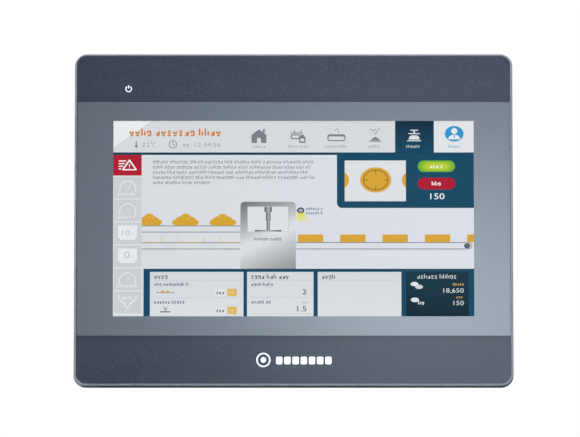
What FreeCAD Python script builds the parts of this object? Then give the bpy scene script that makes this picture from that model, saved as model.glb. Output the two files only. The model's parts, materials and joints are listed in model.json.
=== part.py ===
import FreeCAD, Part
import Sketcher
import math
import os
import re

# A 10-inch operator touch panel for a control cabinet door.
# Millimetres. The screen faces -Y, +Z is up, +X is to the right seen from the front.
# The origin is the centre of the seat plane, where the back of the front flange
# meets the cabinet door.

SIZES = {
    # front bezel, seen from the front
    "bezel_width": 271.0,
    "bezel_height": 213.0,
    "bezel_depth": 5.0,
    "bezel_corner": 7.7,
    "bezel_edge": 1.6,
    "front_wall": 3.0,
    "rim_width": 258.6,
    "rim_height": 200.6,
    "rim_corner": 5.5,
    "rim_wall": 2.2,
    "rim_length": 9.0,
    "rib_width": 1.5,
    "rib_height": 4.5,
    "rib_pitch": 24.0,
    "rib_span": 168.0,
    # overlay film and its window
    "film_width": 267.6,
    "film_height": 150.0,
    "film_rise": 0.4,
    "film_recess": 0.5,
    "film_thickness": 0.25,
    "film_gap": 0.15,
    "window_width": 222.8,
    "window_height": 125.4,
    "screen_rise": 0.6,
    # touch sheet, seal and display module
    "opening_width": 236.0,
    "opening_height": 144.0,
    "touch_width": 235.4,
    "touch_height": 143.4,
    "touch_thickness": 1.2,
    "seal_inner_width": 227.0,
    "seal_inner_height": 130.0,
    "seal_outer_width": 234.0,
    "seal_outer_height": 141.0,
    "seal_thickness": 0.5,
    "module_width": 235.0,
    "module_height": 143.0,
    "module_depth": 6.0,
    "module_wall": 0.4,
    "module_window_width": 224.6,
    "module_window_height": 127.4,
    "cell_thickness": 1.2,
    "guide_thickness": 3.2,
    "guide_trim": 3.0,
    "led_strip_height": 1.2,
    "back_plate_thickness": 0.6,
    "part_gap": 0.3,
    # cabinet gasket
    "gasket_inner_width": 262.4,
    "gasket_inner_height": 204.4,
    "gasket_outer_width": 267.0,
    "gasket_outer_height": 209.0,
    "gasket_thickness": 1.5,
    "groove_gap": 0.15,
    # mounting plate, its screws and the bosses of the bezel
    "plate_front": 5.2,
    "plate_thickness": 1.2,
    "plate_width": 249.0,
    "plate_height": 138.0,
    "plate_screw_x": 121.0,
    "plate_screw_z": 62.0,
    "plate_boss_radius": 3.1,
    "foot_width": 12.0,
    "foot_height": 8.0,
    "foot_x": 80.0,
    "foot_z": 58.0,
    "cable_window_left": -34.0,
    "cable_window_right": 14.0,
    "cable_window_low": 4.0,
    "cable_window_high": 46.0,
    # rear cover
    "cover_front": 9.2,
    "cover_step": 18.0,
    "cover_rear": 31.4,
    "cover_wall": 2.2,
    "cover_side_wall": 3.1,
    "cover_rear_width": 254.0,
    "cover_rear_height": 190.0,
    "cover_corner": 6.0,
    "cover_edge": 2.0,
    "tongue_front": 5.0,
    "tongue_outer_width": 253.6,
    "tongue_outer_height": 195.6,
    "tongue_wall": 1.6,
    "tongue_root": 11.0,
    "cover_screw_x": 118.0,
    "cover_screw_z": 86.0,
    "cover_screw_mid_x": 45.0,
    "cover_boss_radius": 4.0,
    "cover_boss_end": 8.0,
    "post_radius": 5.0,
    "post_front": 8.3,
    "well_radius": 3.5,
    "well_floor": 12.0,
    "vent_width": 3.0,
    "vent_height": 26.0,
    "vent_low": 50.0,
    "vent_pitch": 8.0,
    "vent_count": 15,
    "vent_left": -56.0,
    "side_vent_length": 10.0,
    "side_vent_width": 2.4,
    "side_vent_y": 22.0,
    "side_vent_pitch": 16.0,
    "side_vent_count": 12,
    "slot_length": 12.0,
    "slot_width": 5.0,
    "slot_y": 11.0,
    "top_slot_x": 80.0,
    "bottom_slot_x": 113.0,
    "side_slot_z": 40.0,
    "label_left": -58.0,
    "label_right": 26.0,
    "label_low": -24.0,
    "label_high": 24.0,
    "label_thickness": 0.2,
    "label_recess": 0.4,
    # connector bay in the underside of the cover
    "bay_half_width": 100.0,
    "bay_ceiling": -80.0,
    "bay_front": 12.0,
    "bay_wall": 2.2,
    # main board and what stands on it
    "board_front": 13.4,
    "board_thickness": 1.6,
    "board_half_width": 108.0,
    "board_low": -76.0,
    "board_high": 80.0,
    "tab_width": 16.0,
    "tab_high": 90.0,
    "standoff_x": 100.0,
    "standoff_z": 62.0,
    "standoff_radius": 2.9,
    "screw_radius": 1.25,
    "thread_hole_radius": 1.35,
    "clear_hole_radius": 1.7,
    "small_head_radius": 2.7,
    "small_head_height": 1.8,
    "cover_head_radius": 3.0,
    "cover_head_height": 2.4,
    "recess_width": 0.8,
    "recess_depth": 1.1,
    "chip_x": 8.0,
    "chip_z": 12.0,
    "chip_size": 23.0,
    "chip_height": 1.8,
    "pad_height": 0.5,
    "sink_size": 34.0,
    "sink_base": 2.0,
    "sink_height": 9.0,
    "fin_width": 1.2,
    "fin_gap": 2.4,
    # power indicator
    "lamp_x": -102.1,
    "lamp_z": 84.0,
    "lamp_radius": 2.4,
    "lamp_skin": 0.6,
    "lamp_led_height": 0.8,
    # connectors: x of each one, and the depth of the common axis
    "power_x": -80.0,
    "reset_x": -60.0,
    "dip_x": -46.0,
    "serial_a_x": -14.0,
    "serial_b_x": 24.0,
    "usb_x": 52.0,
    "lan_x": 76.0,
    "port_axis": 21.3,
    "port_face": -82.0,
    # screw terminal with three poles
    "pole_pitch": 5.08,
    "header_width": 18.4,
    "header_depth": 12.0,
    "header_back": -69.0,
    "header_mouth": -81.0,
    "header_wall": 1.2,
    "pin_half": 0.5,
    "plug_gap": 0.3,
    "plug_front": 15.3,
    "plug_rear": 29.2,
    "plug_low": -95.0,
    "plug_high": -81.6,
    "nose_high": -72.4,
    "chamber_half": 1.9,
    "chamber_front": 16.6,
    "chamber_rear": 26.2,
    "chamber_low": -93.8,
    "chamber_high": -85.6,
    "entry_half": 1.6,
    "entry_front": 17.6,
    "entry_rear": 20.8,
    "ledge": 0.6,
    "clamp_axis": -89.4,
    "clamp_half_width": 1.6,
    "clamp_half_length": 2.6,
    "clamp_front": 17.0,
    "clamp_bottom": 0.8,
    "clamp_inner": 4.0,
    "clamp_top": 1.2,
    "contact_front": 20.8,
    "contact_thickness": 0.8,
    "contact_half": 0.8,
    "screw_head_radius": 1.7,
    "screw_head_height": 1.8,
    "screw_well_radius": 2.0,
    "clamp_screw_radius": 1.1,
    "clamp_hole_radius": 1.3,
    # four-way switch and reset button
    "dip_pitch": 2.54,
    "dip_width": 11.4,
    "dip_depth": 6.2,
    "dip_back": -70.0,
    "dip_face": -79.2,
    "dip_slot_half": 0.7,
    "dip_slot_front": 16.0,
    "dip_slot_rear": 20.2,
    "dip_slot_depth": 2.0,
    "slider_half": 0.5,
    "slider_length": 2.0,
    "slider_gap": 0.2,
    "slider_tip": -80.5,
    "reset_width": 6.0,
    "reset_depth": 6.0,
    "reset_back": -72.0,
    "reset_face": -79.0,
    "reset_hole_radius": 1.8,
    "reset_hole_depth": 3.4,
    "button_radius": 1.5,
    "button_tip": -81.0,
    "button_root": -76.8,
    # nine-pole serial ports
    "flange_width": 30.8,
    "flange_depth": 12.5,
    "flange_thickness": 0.8,
    "shell_reach": 5.9,
    "shell_wall": 0.4,
    "female_half_width": 8.2,
    "female_height": 7.9,
    "male_half_width": 8.6,
    "male_height": 8.4,
    "shell_corner": 2.2,
    "shell_slope": 1.4,
    "insert_back": -66.0,
    "insert_half_width": 9.5,
    "insert_depth": 10.6,
    "contact_pitch": 2.77,
    "row_spacing": 2.84,
    "jack_screw_x": 12.495,
    "jack_screw_radius": 2.75,
    "jack_screw_length": 5.0,
    "jack_thread_radius": 1.1,
    "male_floor": 1.0,
    "pin_radius": 0.5,
    "socket_radius": 0.65,
    # network and storage ports
    "lan_width": 16.0,
    "lan_depth": 13.5,
    "lan_back": -61.0,
    "lan_wall": 0.4,
    "lan_cavity_width": 11.9,
    "lan_cavity_front": 17.0,
    "lan_cavity_rear": 25.2,
    "lan_cavity_end": -67.5,
    "lan_notch_width": 6.2,
    "lan_notch_rear": 27.4,
    "lan_contact_pitch": 1.02,
    "lan_contact_half": 0.22,
    "usb_width": 13.1,
    "usb_depth": 5.7,
    "usb_back": -68.0,
    "usb_wall": 0.35,
    "usb_tongue_half": 5.6,
    "usb_tongue_front": 16.2,
    "usb_tongue_rear": 18.1,
    # flat cables
    "tail_left": 20.0,
    "tail_right": 32.0,
    "tail_thickness": 0.2,
    "tail_end": -63.0,
    "cable_left": -30.0,
    "cable_right": 10.0,
    "cable_z": 30.0,
    "cable_end": 38.0,
    "cable_start": 10.0,
    "socket_height": 1.8,
}

doc = FreeCAD.newDocument("operator_touch_panel")
sheet = doc.addObject("Spreadsheet::Sheet", "Sizes")
for row, (alias, value) in enumerate(SIZES.items(), start=1):
    sheet.set(f"A{row}", alias)
    sheet.set(f"B{row}", str(value))
    sheet.setAlias(f"B{row}", alias)
doc.recompute()

ALIAS = re.compile(r"\b(" + "|".join(SIZES) + r")\b")
ALONG = {
    "x": FreeCAD.Rotation(FreeCAD.Vector(0, 1, 0), 90),
    "y": FreeCAD.Rotation(FreeCAD.Vector(1, 0, 0), -90),
    "z": FreeCAD.Rotation(),
}
SCREEN_MIDDLE = "screen_rise"
FRONT = "-bezel_depth"
FILM_BACK = "-bezel_depth + film_recess"
TOUCH_BACK = FILM_BACK + " + touch_thickness"
MODULE_FRONT = TOUCH_BACK + " + seal_thickness"
BOARD_REAR = "board_front + board_thickness"
POLES = (-1, 0, 1)


# ---- helpers ----

def number(expression):
    """Value of an expression written with cell aliases."""
    return float(sheet.evalExpression(expression))


def link(item, name, expression):
    """Bind a property of an item to the sheet."""
    item.setExpression(name, ALIAS.sub(r"Sizes.\1", expression))


def around(centre, width):
    """Span of a width about a centre."""
    return (f"{centre} - ({width}) / 2", f"{centre} + ({width}) / 2")


def from_to(start, length):
    """Span of a length from its start."""
    return (start, f"{start} + {length}")


def block(name, x_span, y_span, z_span):
    """Box between three pairs of expressions."""
    item = doc.addObject("Part::Box", name)
    spans = (x_span, y_span, z_span)
    for side, (low, high) in zip(("Length", "Width", "Height"), spans):
        link(item, side, f"({high}) - ({low})")
    for axis, (low, high) in zip("xyz", spans):
        link(item, f"Placement.Base.{axis}", low)
    return item


def rod(name, axis, x, y, z, length, radius):
    """Cylinder that starts at a point and runs along an axis."""
    item = doc.addObject("Part::Cylinder", name)
    item.Placement = FreeCAD.Placement(FreeCAD.Vector(), ALONG[axis])
    link(item, "Radius", radius)
    link(item, "Height", length)
    for letter, place in zip("xyz", (x, y, z)):
        link(item, f"Placement.Base.{letter}", place)
    return item


def hex_rod(name, axis, x, y, z, length, radius):
    """Hexagonal bar that starts at a point and runs along an axis."""
    item = doc.addObject("Part::Prism", name)
    item.Polygon = 6
    item.Placement = FreeCAD.Placement(FreeCAD.Vector(), ALONG[axis])
    link(item, "Circumradius", radius)
    link(item, "Height", length)
    for letter, place in zip("xyz", (x, y, z)):
        link(item, f"Placement.Base.{letter}", place)
    return item


def fuse(name, items):
    """One solid from items that touch or overlap."""
    item = doc.addObject("Part::MultiFuse", name)
    item.Shapes = items
    return item


def cut(name, base, tools):
    """Base less its tools; the tools have to remove something."""
    item = doc.addObject("Part::Cut", name)
    item.Base = base
    item.Tool = tools[0] if len(tools) == 1 else fuse(name + "_tools", tools)
    doc.recompute()
    if item.Shape.Volume > base.Shape.Volume - 1e-3:
        raise RuntimeError(f"{name}: nothing was cut away")
    return item


def group(name, items):
    """Separate solids that share one node."""
    item = doc.addObject("Part::Compound", name)
    item.Links = items
    return item


def new_body(name):
    return doc.addObject("PartDesign::Body", name)


def sketch_on(body, name, role, offset):
    """Sketch on one of the body's own origin planes, moved along its normal."""
    plane = next(item for item in body.Origin.OriginFeatures if item.Role == role)
    sketch = body.newObject("Sketcher::SketchObject", name)
    sketch.AttachmentSupport = [(plane, "")]
    sketch.MapMode = "FlatFace"
    link(sketch, "AttachmentOffset.Base.z", offset)
    return sketch


def front_sketch(body, name, depth):
    """Sketch on the plane y = depth, drawn as seen from the front."""
    return sketch_on(body, name, "XZ_Plane", f"-({depth})")


def hold(sketch, kind, geometry, point, expression):
    """Fix a point of a sketch at a distance from its origin."""
    rule = Sketcher.Constraint(kind, -1, 1, geometry, point, number(expression))
    index = sketch.addConstraint(rule)
    link(sketch, f"Constraints[{index}]", expression)


def hold_radius(sketch, geometry, expression):
    rule = Sketcher.Constraint("Radius", geometry, number(expression))
    index = sketch.addConstraint(rule)
    link(sketch, f"Constraints[{index}]", expression)


def rectangle(sketch, x_span, z_span):
    """Rectangle with sharp corners."""
    first = sketch.GeometryCount
    left, right = (number(edge) for edge in x_span)
    low, high = (number(edge) for edge in z_span)
    corners = [
        FreeCAD.Vector(left, low, 0),
        FreeCAD.Vector(right, low, 0),
        FreeCAD.Vector(right, high, 0),
        FreeCAD.Vector(left, high, 0),
    ]
    for start, end in zip(corners, corners[1:] + corners[:1]):
        sketch.addGeometry(Part.LineSegment(start, end), False)
    for side in range(4):
        following = first + (side + 1) % 4
        sketch.addConstraint(Sketcher.Constraint("Coincident", first + side, 2, following, 1))
        level = "Horizontal" if side % 2 == 0 else "Vertical"
        sketch.addConstraint(Sketcher.Constraint(level, first + side))
    hold(sketch, "DistanceX", first, 1, x_span[0])
    hold(sketch, "DistanceX", first + 1, 1, x_span[1])
    hold(sketch, "DistanceY", first, 1, z_span[0])
    hold(sketch, "DistanceY", first + 2, 1, z_span[1])


def rounded_rectangle(sketch, x_span, z_span, corner):
    """Rectangle whose corners are arcs of one radius."""
    first = sketch.GeometryCount
    left, right = (number(edge) for edge in x_span)
    low, high = (number(edge) for edge in z_span)
    radius = number(corner)
    centres = [
        FreeCAD.Vector(right - radius, low + radius, 0),
        FreeCAD.Vector(right - radius, high - radius, 0),
        FreeCAD.Vector(left + radius, high - radius, 0),
        FreeCAD.Vector(left + radius, low + radius, 0),
    ]
    for turn, centre in enumerate(centres):
        before = centres[turn - 1]
        start_angle = (turn - 1) * math.pi / 2
        outward = FreeCAD.Vector(math.cos(start_angle), math.sin(start_angle), 0) * radius
        sketch.addGeometry(Part.LineSegment(before + outward, centre + outward), False)
        circle = Part.Circle(centre, FreeCAD.Vector(0, 0, 1), radius)
        sketch.addGeometry(Part.ArcOfCircle(circle, start_angle, start_angle + math.pi / 2), False)
    for turn in range(4):
        line = first + 2 * turn
        arc = line + 1
        following = first + (2 * turn + 2) % 8
        sketch.addConstraint(Sketcher.Constraint("Tangent", line, 2, arc, 1))
        sketch.addConstraint(Sketcher.Constraint("Tangent", arc, 2, following, 1))
        level = "Horizontal" if turn % 2 == 0 else "Vertical"
        sketch.addConstraint(Sketcher.Constraint(level, line))
        if turn:
            sketch.addConstraint(Sketcher.Constraint("Equal", first + 1, arc))
    hold_radius(sketch, first + 1, corner)
    hold(sketch, "DistanceY", first, 1, z_span[0])
    hold(sketch, "DistanceX", first + 2, 1, x_span[1])
    hold(sketch, "DistanceY", first + 4, 1, z_span[1])
    hold(sketch, "DistanceX", first + 6, 1, x_span[0])


def ring(sketch, centre, outer, inner, corner, wall):
    """Two rounded rectangles, one inside the other, given as (width, height)."""
    rounded_rectangle(sketch, around("0", outer[0]), around(centre, outer[1]), corner)
    inside = f"{corner} - {wall}"
    rounded_rectangle(sketch, around("0", inner[0]), around(centre, inner[1]), inside)


def circles(sketch, places, radius):
    """Circles of one radius at pairs of expressions."""
    for x, z in places:
        first = sketch.GeometryCount
        centre = FreeCAD.Vector(number(x), number(z), 0)
        circle = Part.Circle(centre, FreeCAD.Vector(0, 0, 1), number(radius))
        sketch.addGeometry(circle, False)
        hold_radius(sketch, first, radius)
        hold(sketch, "DistanceX", first, 3, x)
        hold(sketch, "DistanceY", first, 3, z)


def pad(body, sketch, length):
    """Add material from the sketch along its normal: towards the front for y planes."""
    feature = body.newObject("PartDesign::Pad", sketch.Name + "_pad")
    feature.Profile = sketch
    link(feature, "Length", length)
    doc.recompute()
    return feature


def pocket(body, sketch, length):
    """Cut from the sketch against its normal: towards the rear for y planes."""
    before = body.Shape.Volume
    feature = body.newObject("PartDesign::Pocket", sketch.Name + "_pocket")
    feature.Profile = sketch
    link(feature, "Length", length)
    doc.recompute()
    if body.Shape.Volume > before - 1e-3:
        raise RuntimeError(f"{body.Name}: {sketch.Name} cuts nothing")
    return feature


def repeat(body, feature, axis, span, count):
    """Copy a feature along the drawing axis of its sketch."""
    pattern = body.newObject("PartDesign::LinearPattern", feature.Name + "_row")
    pattern.Originals = [feature]
    pattern.Direction = (feature.Profile[0], [axis])
    link(pattern, "Length", span)
    link(pattern, "Occurrences", count)
    body.Tip = pattern
    doc.recompute()
    return pattern


def round_edges(body, feature, radius, wanted):
    """Fillet the edges of a feature that a test picks."""
    picked = [f"Edge{i}" for i, edge in enumerate(feature.Shape.Edges, start=1) if wanted(edge)]
    fillet = body.newObject("PartDesign::Fillet", feature.Name + "_round")
    fillet.Base = (feature, picked)
    link(fillet, "Radius", radius)
    doc.recompute()
    return fillet


def at_depth(depth):
    """Test for edges that lie in the plane y = depth."""
    level = number(depth)

    def test(edge):
        box = edge.BoundBox
        return abs(box.YMin - level) < 1e-4 and abs(box.YMax - level) < 1e-4

    return test


def screws(name, places, seat, head_radius, head_height, reach):
    """Screws driven from the rear, heads on the plane y = seat, with cross recesses."""
    made = []
    for index, (x, z) in enumerate(places, start=1):
        head = rod(f"{name}_head_{index}", "y", x, seat, z, head_height, head_radius)
        start = f"({seat}) - ({reach})"
        shank = rod(f"{name}_shank_{index}", "y", x, start, z, f"{reach} + 0.1", "screw_radius")
        whole = fuse(f"{name}_whole_{index}", [head, shank])
        top = f"({seat}) + ({head_height})"
        recess = (f"{top} - recess_depth", f"{top} + 0.5")
        wide = around(x, f"{head_radius} * 1.1")
        narrow = around(x, "recess_width")
        tall = around(z, f"{head_radius} * 1.1")
        low = around(z, "recess_width")
        across = block(f"{name}_across_{index}", wide, recess, low)
        upright = block(f"{name}_upright_{index}", narrow, recess, tall)
        made.append(cut(f"{name}_{index}", whole, [across, upright]))
    return group(name, made)


def four(x, z):
    """The four corners at plus and minus x and z."""
    return [(f"{a}{x}", f"{b}{z}") for a in ("-", "") for b in ("-", "")]


PLATE_SCREWS = four("plate_screw_x", "plate_screw_z") + [
    ("-plate_screw_x", "screen_rise"),
    ("plate_screw_x", "screen_rise"),
]
COVER_SCREWS = four("cover_screw_x", "cover_screw_z") + [
    ("-cover_screw_mid_x", "cover_screw_z"),
    ("cover_screw_mid_x", "cover_screw_z"),
]
BOARD_SCREWS = four("standoff_x", "standoff_z") + [
    ("chip_x - 44", "standoff_z"),
    ("chip_x - 3", "-standoff_z + 3"),
]


# ---- front ----

def front_bezel():
    """Moulded bezel: flange, rim through the cut-out, window, groove and bosses."""
    body = new_body("front_bezel")
    outline = front_sketch(body, "bezel_outline", "0")
    rounded_rectangle(
        outline, around("0", "bezel_width"), around("0", "bezel_height"), "bezel_corner")
    flange = pad(body, outline, "bezel_depth")
    round_edges(body, flange, "bezel_edge", at_depth(FRONT))
    rim = front_sketch(body, "bezel_rim", "rim_length")
    rounded_rectangle(rim, around("0", "rim_width"), around("0", "rim_height"), "rim_corner")
    pad(body, rim, "rim_length")
    hollow = front_sketch(body, "bezel_hollow", FRONT + " + front_wall")
    rounded_rectangle(
        hollow,
        around("0", "rim_width - 2 * rim_wall"),
        around("0", "rim_height - 2 * rim_wall"),
        "rim_corner - rim_wall")
    pocket(body, hollow, "rim_length + bezel_depth - front_wall")
    opening = front_sketch(body, "bezel_opening", FRONT)
    rounded_rectangle(
        opening,
        around("0", "opening_width"),
        around(SCREEN_MIDDLE, "opening_height"),
        "part_gap + 1")
    pocket(body, opening, "front_wall")
    recess = front_sketch(body, "bezel_film_recess", FRONT)
    rounded_rectangle(
        recess, around("0", "film_width"), around("film_rise", "film_height"), "1")
    pocket(body, recess, "film_recess")
    groove = front_sketch(body, "bezel_groove", "-gasket_thickness")
    ring(
        groove, "0",
        ("gasket_outer_width + 2 * groove_gap", "gasket_outer_height + 2 * groove_gap"),
        ("gasket_inner_width - 2 * groove_gap", "gasket_inner_height - 2 * groove_gap"),
        "bezel_corner - 1.5", "2.4")
    pocket(body, groove, "gasket_thickness")
    for name, places, end, radius in (
            ("plate_boss", PLATE_SCREWS, "plate_front", "plate_boss_radius"),
            ("cover_boss", COVER_SCREWS, "cover_boss_end", "cover_boss_radius")):
        boss = front_sketch(body, f"bezel_{name}", end)
        circles(boss, places, radius)
        pad(body, boss, f"{end} + bezel_depth - front_wall + 0.2")
        hole = front_sketch(body, f"bezel_{name}_hole", FRONT + " + front_wall + 0.6")
        circles(hole, places, "thread_hole_radius")
        pocket(body, hole, f"{end} + bezel_depth - front_wall")
    lamp = front_sketch(body, "bezel_lamp_hole", FRONT + " + lamp_skin")
    circles(lamp, [("lamp_x", "lamp_z")], "lamp_radius + groove_gap")
    pocket(body, lamp, "front_wall")
    for name, low, high in (
            ("top", "screen_rise + opening_height / 2 + 1", "rim_height / 2 - 1"),
            ("bottom", "-rim_height / 2 + 1", "screen_rise - opening_height / 2 - 1")):
        rib = front_sketch(body, f"bezel_{name}_rib", FRONT + " + front_wall + rib_height")
        rectangle(rib, around("-rib_span / 2", "rib_width"), (low, high))
        made = pad(body, rib, "rib_height + 0.2")
        repeat(body, made, "H_Axis", "rib_span", "rib_span / rib_pitch + 1")
    return body


def overlay_film():
    """Printed film over the middle of the front, open at the screen."""
    body = new_body("overlay_film")
    sketch = front_sketch(body, "film_outline", FILM_BACK)
    rounded_rectangle(
        sketch,
        around("0", "film_width - 2 * film_gap"),
        around("film_rise", "film_height - 2 * film_gap"),
        "0.8")
    rectangle(sketch, around("0", "window_width"), around(SCREEN_MIDDLE, "window_height"))
    pad(body, sketch, "film_thickness")
    return body


def panel_gasket():
    """Rubber ring that seals the flange against the cabinet door."""
    body = new_body("panel_gasket")
    sketch = front_sketch(body, "gasket_outline", "0")
    ring(
        sketch, "0",
        ("gasket_outer_width", "gasket_outer_height"),
        ("gasket_inner_width", "gasket_inner_height"),
        "bezel_corner - 1.6", "2.3")
    pad(body, sketch, "gasket_thickness")
    return body


def touch_panel():
    """Clear touch sheet behind the film."""
    body = new_body("touch_panel")
    sketch = front_sketch(body, "touch_outline", TOUCH_BACK)
    rounded_rectangle(
        sketch,
        around("0", "touch_width"),
        around(SCREEN_MIDDLE, "touch_height"),
        "1")
    pad(body, sketch, "touch_thickness")
    return body


def touch_tail():
    """Flat cable from the lower edge of the touch sheet to the board."""
    edge = "screen_rise - touch_height / 2"
    x_span = ("tail_left", "tail_right")
    level = f"board_front - socket_height + 0.6"
    run = block(
        "touch_tail_run", x_span,
        (FILM_BACK + " + 0.2", level + " + tail_thickness"),
        (f"{edge} - tail_thickness", edge))
    rise = block(
        "touch_tail_rise", x_span,
        (level, level + " + tail_thickness"),
        (f"{edge} - tail_thickness", "tail_end"))
    return fuse("touch_tail", [run, rise])


def dust_seal():
    """Foam frame between the touch sheet and the display module."""
    body = new_body("dust_seal")
    sketch = front_sketch(body, "seal_outline", MODULE_FRONT)
    ring(
        sketch, SCREEN_MIDDLE,
        ("seal_outer_width", "seal_outer_height"),
        ("seal_inner_width", "seal_inner_height"),
        "2", "1")
    pad(body, sketch, "seal_thickness")
    return body


# ---- display module ----

def lcd_frame():
    """Pressed steel frame that wraps the display module."""
    width = around("0", "module_width")
    height = around(SCREEN_MIDDLE, "module_height")
    depth = from_to(MODULE_FRONT, "module_depth")
    shell = block("lcd_frame_shell", width, depth, height)
    inside = block(
        "lcd_frame_inside",
        around("0", "module_width - 2 * module_wall"),
        (MODULE_FRONT + " + module_wall", depth[1] + " + 1"),
        around(SCREEN_MIDDLE, "module_height - 2 * module_wall"))
    window = block(
        "lcd_frame_window",
        around("0", "module_window_width"),
        (MODULE_FRONT + " - 1", MODULE_FRONT + " + 1"),
        around(SCREEN_MIDDLE, "module_window_height"))
    return cut("lcd_frame", shell, [inside, window])


def module_layer(name, front, thickness, low, high):
    """Flat layer inside the display module."""
    return block(
        name,
        around("0", "module_width - 2 * module_wall - 2 * part_gap"),
        from_to(front, thickness),
        (low, high))


MODULE_LOW = "screen_rise - module_height / 2 + module_wall + part_gap"
MODULE_HIGH = "screen_rise + module_height / 2 - module_wall - part_gap"
CELL_FRONT = MODULE_FRONT + " + module_wall"
GUIDE_FRONT = CELL_FRONT + " + cell_thickness"
BACK_FRONT = GUIDE_FRONT + " + guide_thickness"


def lcd_cell():
    """Liquid crystal glass."""
    return module_layer("lcd_cell", CELL_FRONT, "cell_thickness", MODULE_LOW, MODULE_HIGH)


def light_guide():
    """Acrylic sheet that spreads the backlight."""
    low = MODULE_LOW + " + guide_trim"
    return module_layer("light_guide", GUIDE_FRONT, "guide_thickness", low, MODULE_HIGH)


def backlight_strip():
    """Strip of lamps along the lower edge of the light guide."""
    low = MODULE_LOW + " + 0.6"
    high = low + " + led_strip_height"
    return module_layer("backlight_strip", GUIDE_FRONT, "guide_thickness", low, high)


def lcd_back_plate():
    """Steel back of the display module."""
    return module_layer(
        "lcd_back_plate", BACK_FRONT, "back_plate_thickness", MODULE_LOW, MODULE_HIGH)


def mounting_plate():
    """Sheet steel plate that presses the display module into the bezel."""
    body = new_body("mounting_plate")
    outline = front_sketch(body, "plate_outline", "plate_front + plate_thickness")
    rounded_rectangle(
        outline,
        around("0", "plate_width"),
        around(SCREEN_MIDDLE, "plate_height"),
        "4")
    pad(body, outline, "plate_thickness")
    feet = front_sketch(body, "plate_feet", "plate_front + 0.2")
    for x, z in four("foot_x", "foot_z"):
        rectangle(feet, around(x, "foot_width"), around(z, "foot_height"))
    pad(body, feet, "plate_front + 0.2 - (" + MODULE_FRONT + " + module_depth)")
    holes = front_sketch(body, "plate_holes", "plate_front")
    circles(holes, PLATE_SCREWS, "clear_hole_radius")
    pocket(body, holes, "plate_thickness")
    window = front_sketch(body, "plate_window", "plate_front")
    rounded_rectangle(
        window,
        ("cable_window_left", "cable_window_right"),
        ("cable_window_low", "cable_window_high"),
        "3")
    pocket(body, window, "plate_thickness")
    return body


# ---- main board ----

def main_board():
    """Circuit board with a tab for the power lamp."""
    body = new_body("main_board")
    outline = front_sketch(body, "board_outline", BOARD_REAR)
    rectangle(
        outline, ("-board_half_width", "board_half_width"), ("board_low", "board_high"))
    pad(body, outline, "board_thickness")
    tab = front_sketch(body, "board_tab", BOARD_REAR)
    rectangle(
        tab,
        ("-board_half_width", "-board_half_width + tab_width"),
        ("board_high - 1", "tab_high"))
    pad(body, tab, "board_thickness")
    holes = front_sketch(body, "board_holes", "board_front")
    circles(holes, BOARD_SCREWS, "clear_hole_radius")
    pocket(body, holes, "board_thickness")
    return body


def board_standoffs():
    """Threaded hexagonal pillars between the plate and the board."""
    made = []
    start = "plate_front + plate_thickness"
    length = f"board_front - ({start})"
    for index, (x, z) in enumerate(BOARD_SCREWS, start=1):
        pillar = hex_rod(f"pillar_{index}", "y", x, start, z, length, "standoff_radius")
        bore = rod(f"pillar_bore_{index}", "y", x, start, z, length, "thread_hole_radius")
        made.append(cut(f"board_standoff_{index}", pillar, [bore]))
    return group("board_standoffs", made)


def on_board(name, x, z, width, height, rise):
    """Box that stands on the rear face of the board."""
    return block(name, around(x, width), from_to(BOARD_REAR, rise), around(z, height))


def processor():
    return on_board("processor", "chip_x", "chip_z", "chip_size", "chip_size", "chip_height")


def memory_chips():
    """Two working memories and one flash memory."""
    return group("memory_chips", [
        on_board("memory_1", "chip_x - 30", "chip_z + 9", "11", "8", "1.1"),
        on_board("memory_2", "chip_x - 30", "chip_z - 9", "11", "8", "1.1"),
        on_board("memory_3", "chip_x + 32", "chip_z", "14", "18", "1.2"),
    ])


def thermal_pad():
    front = f"{BOARD_REAR} + chip_height"
    size = "chip_size - 2"
    return block(
        "thermal_pad", around("chip_x", size), from_to(front, "pad_height"),
        around("chip_z", size))


def heat_sink():
    """Aluminium heat sink with upright fins on the processor."""
    body = new_body("heat_sink")
    base = f"{BOARD_REAR} + chip_height + pad_height"
    outline = front_sketch(body, "sink_outline", base + " + sink_height")
    rectangle(outline, around("chip_x", "sink_size"), around("chip_z", "sink_size"))
    pad(body, outline, "sink_height")
    gap = front_sketch(body, "sink_gap", base + " + sink_base")
    left = "chip_x - sink_size / 2 + fin_width"
    rectangle(gap, from_to(left, "fin_gap"), around("chip_z", "sink_size + 2"))
    made = pocket(body, gap, "sink_height")
    span = "sink_size - fin_width - fin_gap - fin_width"
    repeat(body, made, "H_Axis", span, "9")
    return body


def inductors():
    return group("inductors", [
        on_board("inductor_1", "power_x + 4", "-38", "12.5", "12.5", "7.5"),
        on_board("inductor_2", "power_x + 24", "-38", "10", "10", "6"),
    ])


def capacitors():
    """Electrolytic capacitors of the supply."""
    places = [("power_x - 14", "-20"), ("power_x", "-18"), ("power_x + 14", "-18")]
    made = []
    for index, (x, z) in enumerate(places, start=1):
        made.append(rod(f"capacitor_{index}", "y", x, BOARD_REAR, z, "11.5", "5"))
    return group("capacitors", made)


def battery_holder():
    """Round holder of the clock battery."""
    outer = rod("holder_outer", "y", "70", BOARD_REAR, "34", "4.6", "11.8")
    seat = rod("holder_seat", "y", "70", f"{BOARD_REAR} + 1", "34", "5", "10.3")
    return cut("battery_holder", outer, [seat])


def coin_cell():
    return rod("coin_cell", "y", "70", f"{BOARD_REAR} + 1", "34", "3.2", "10")


def buzzer():
    """Sounder for key clicks, with its sound hole."""
    drum = rod("buzzer_drum", "y", "-78", BOARD_REAR, "40", "8.5", "6")
    sound = rod("buzzer_hole", "y", "-78", f"{BOARD_REAR} + 6", "40", "3", "1.2")
    return cut("buzzer", drum, [sound])


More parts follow.
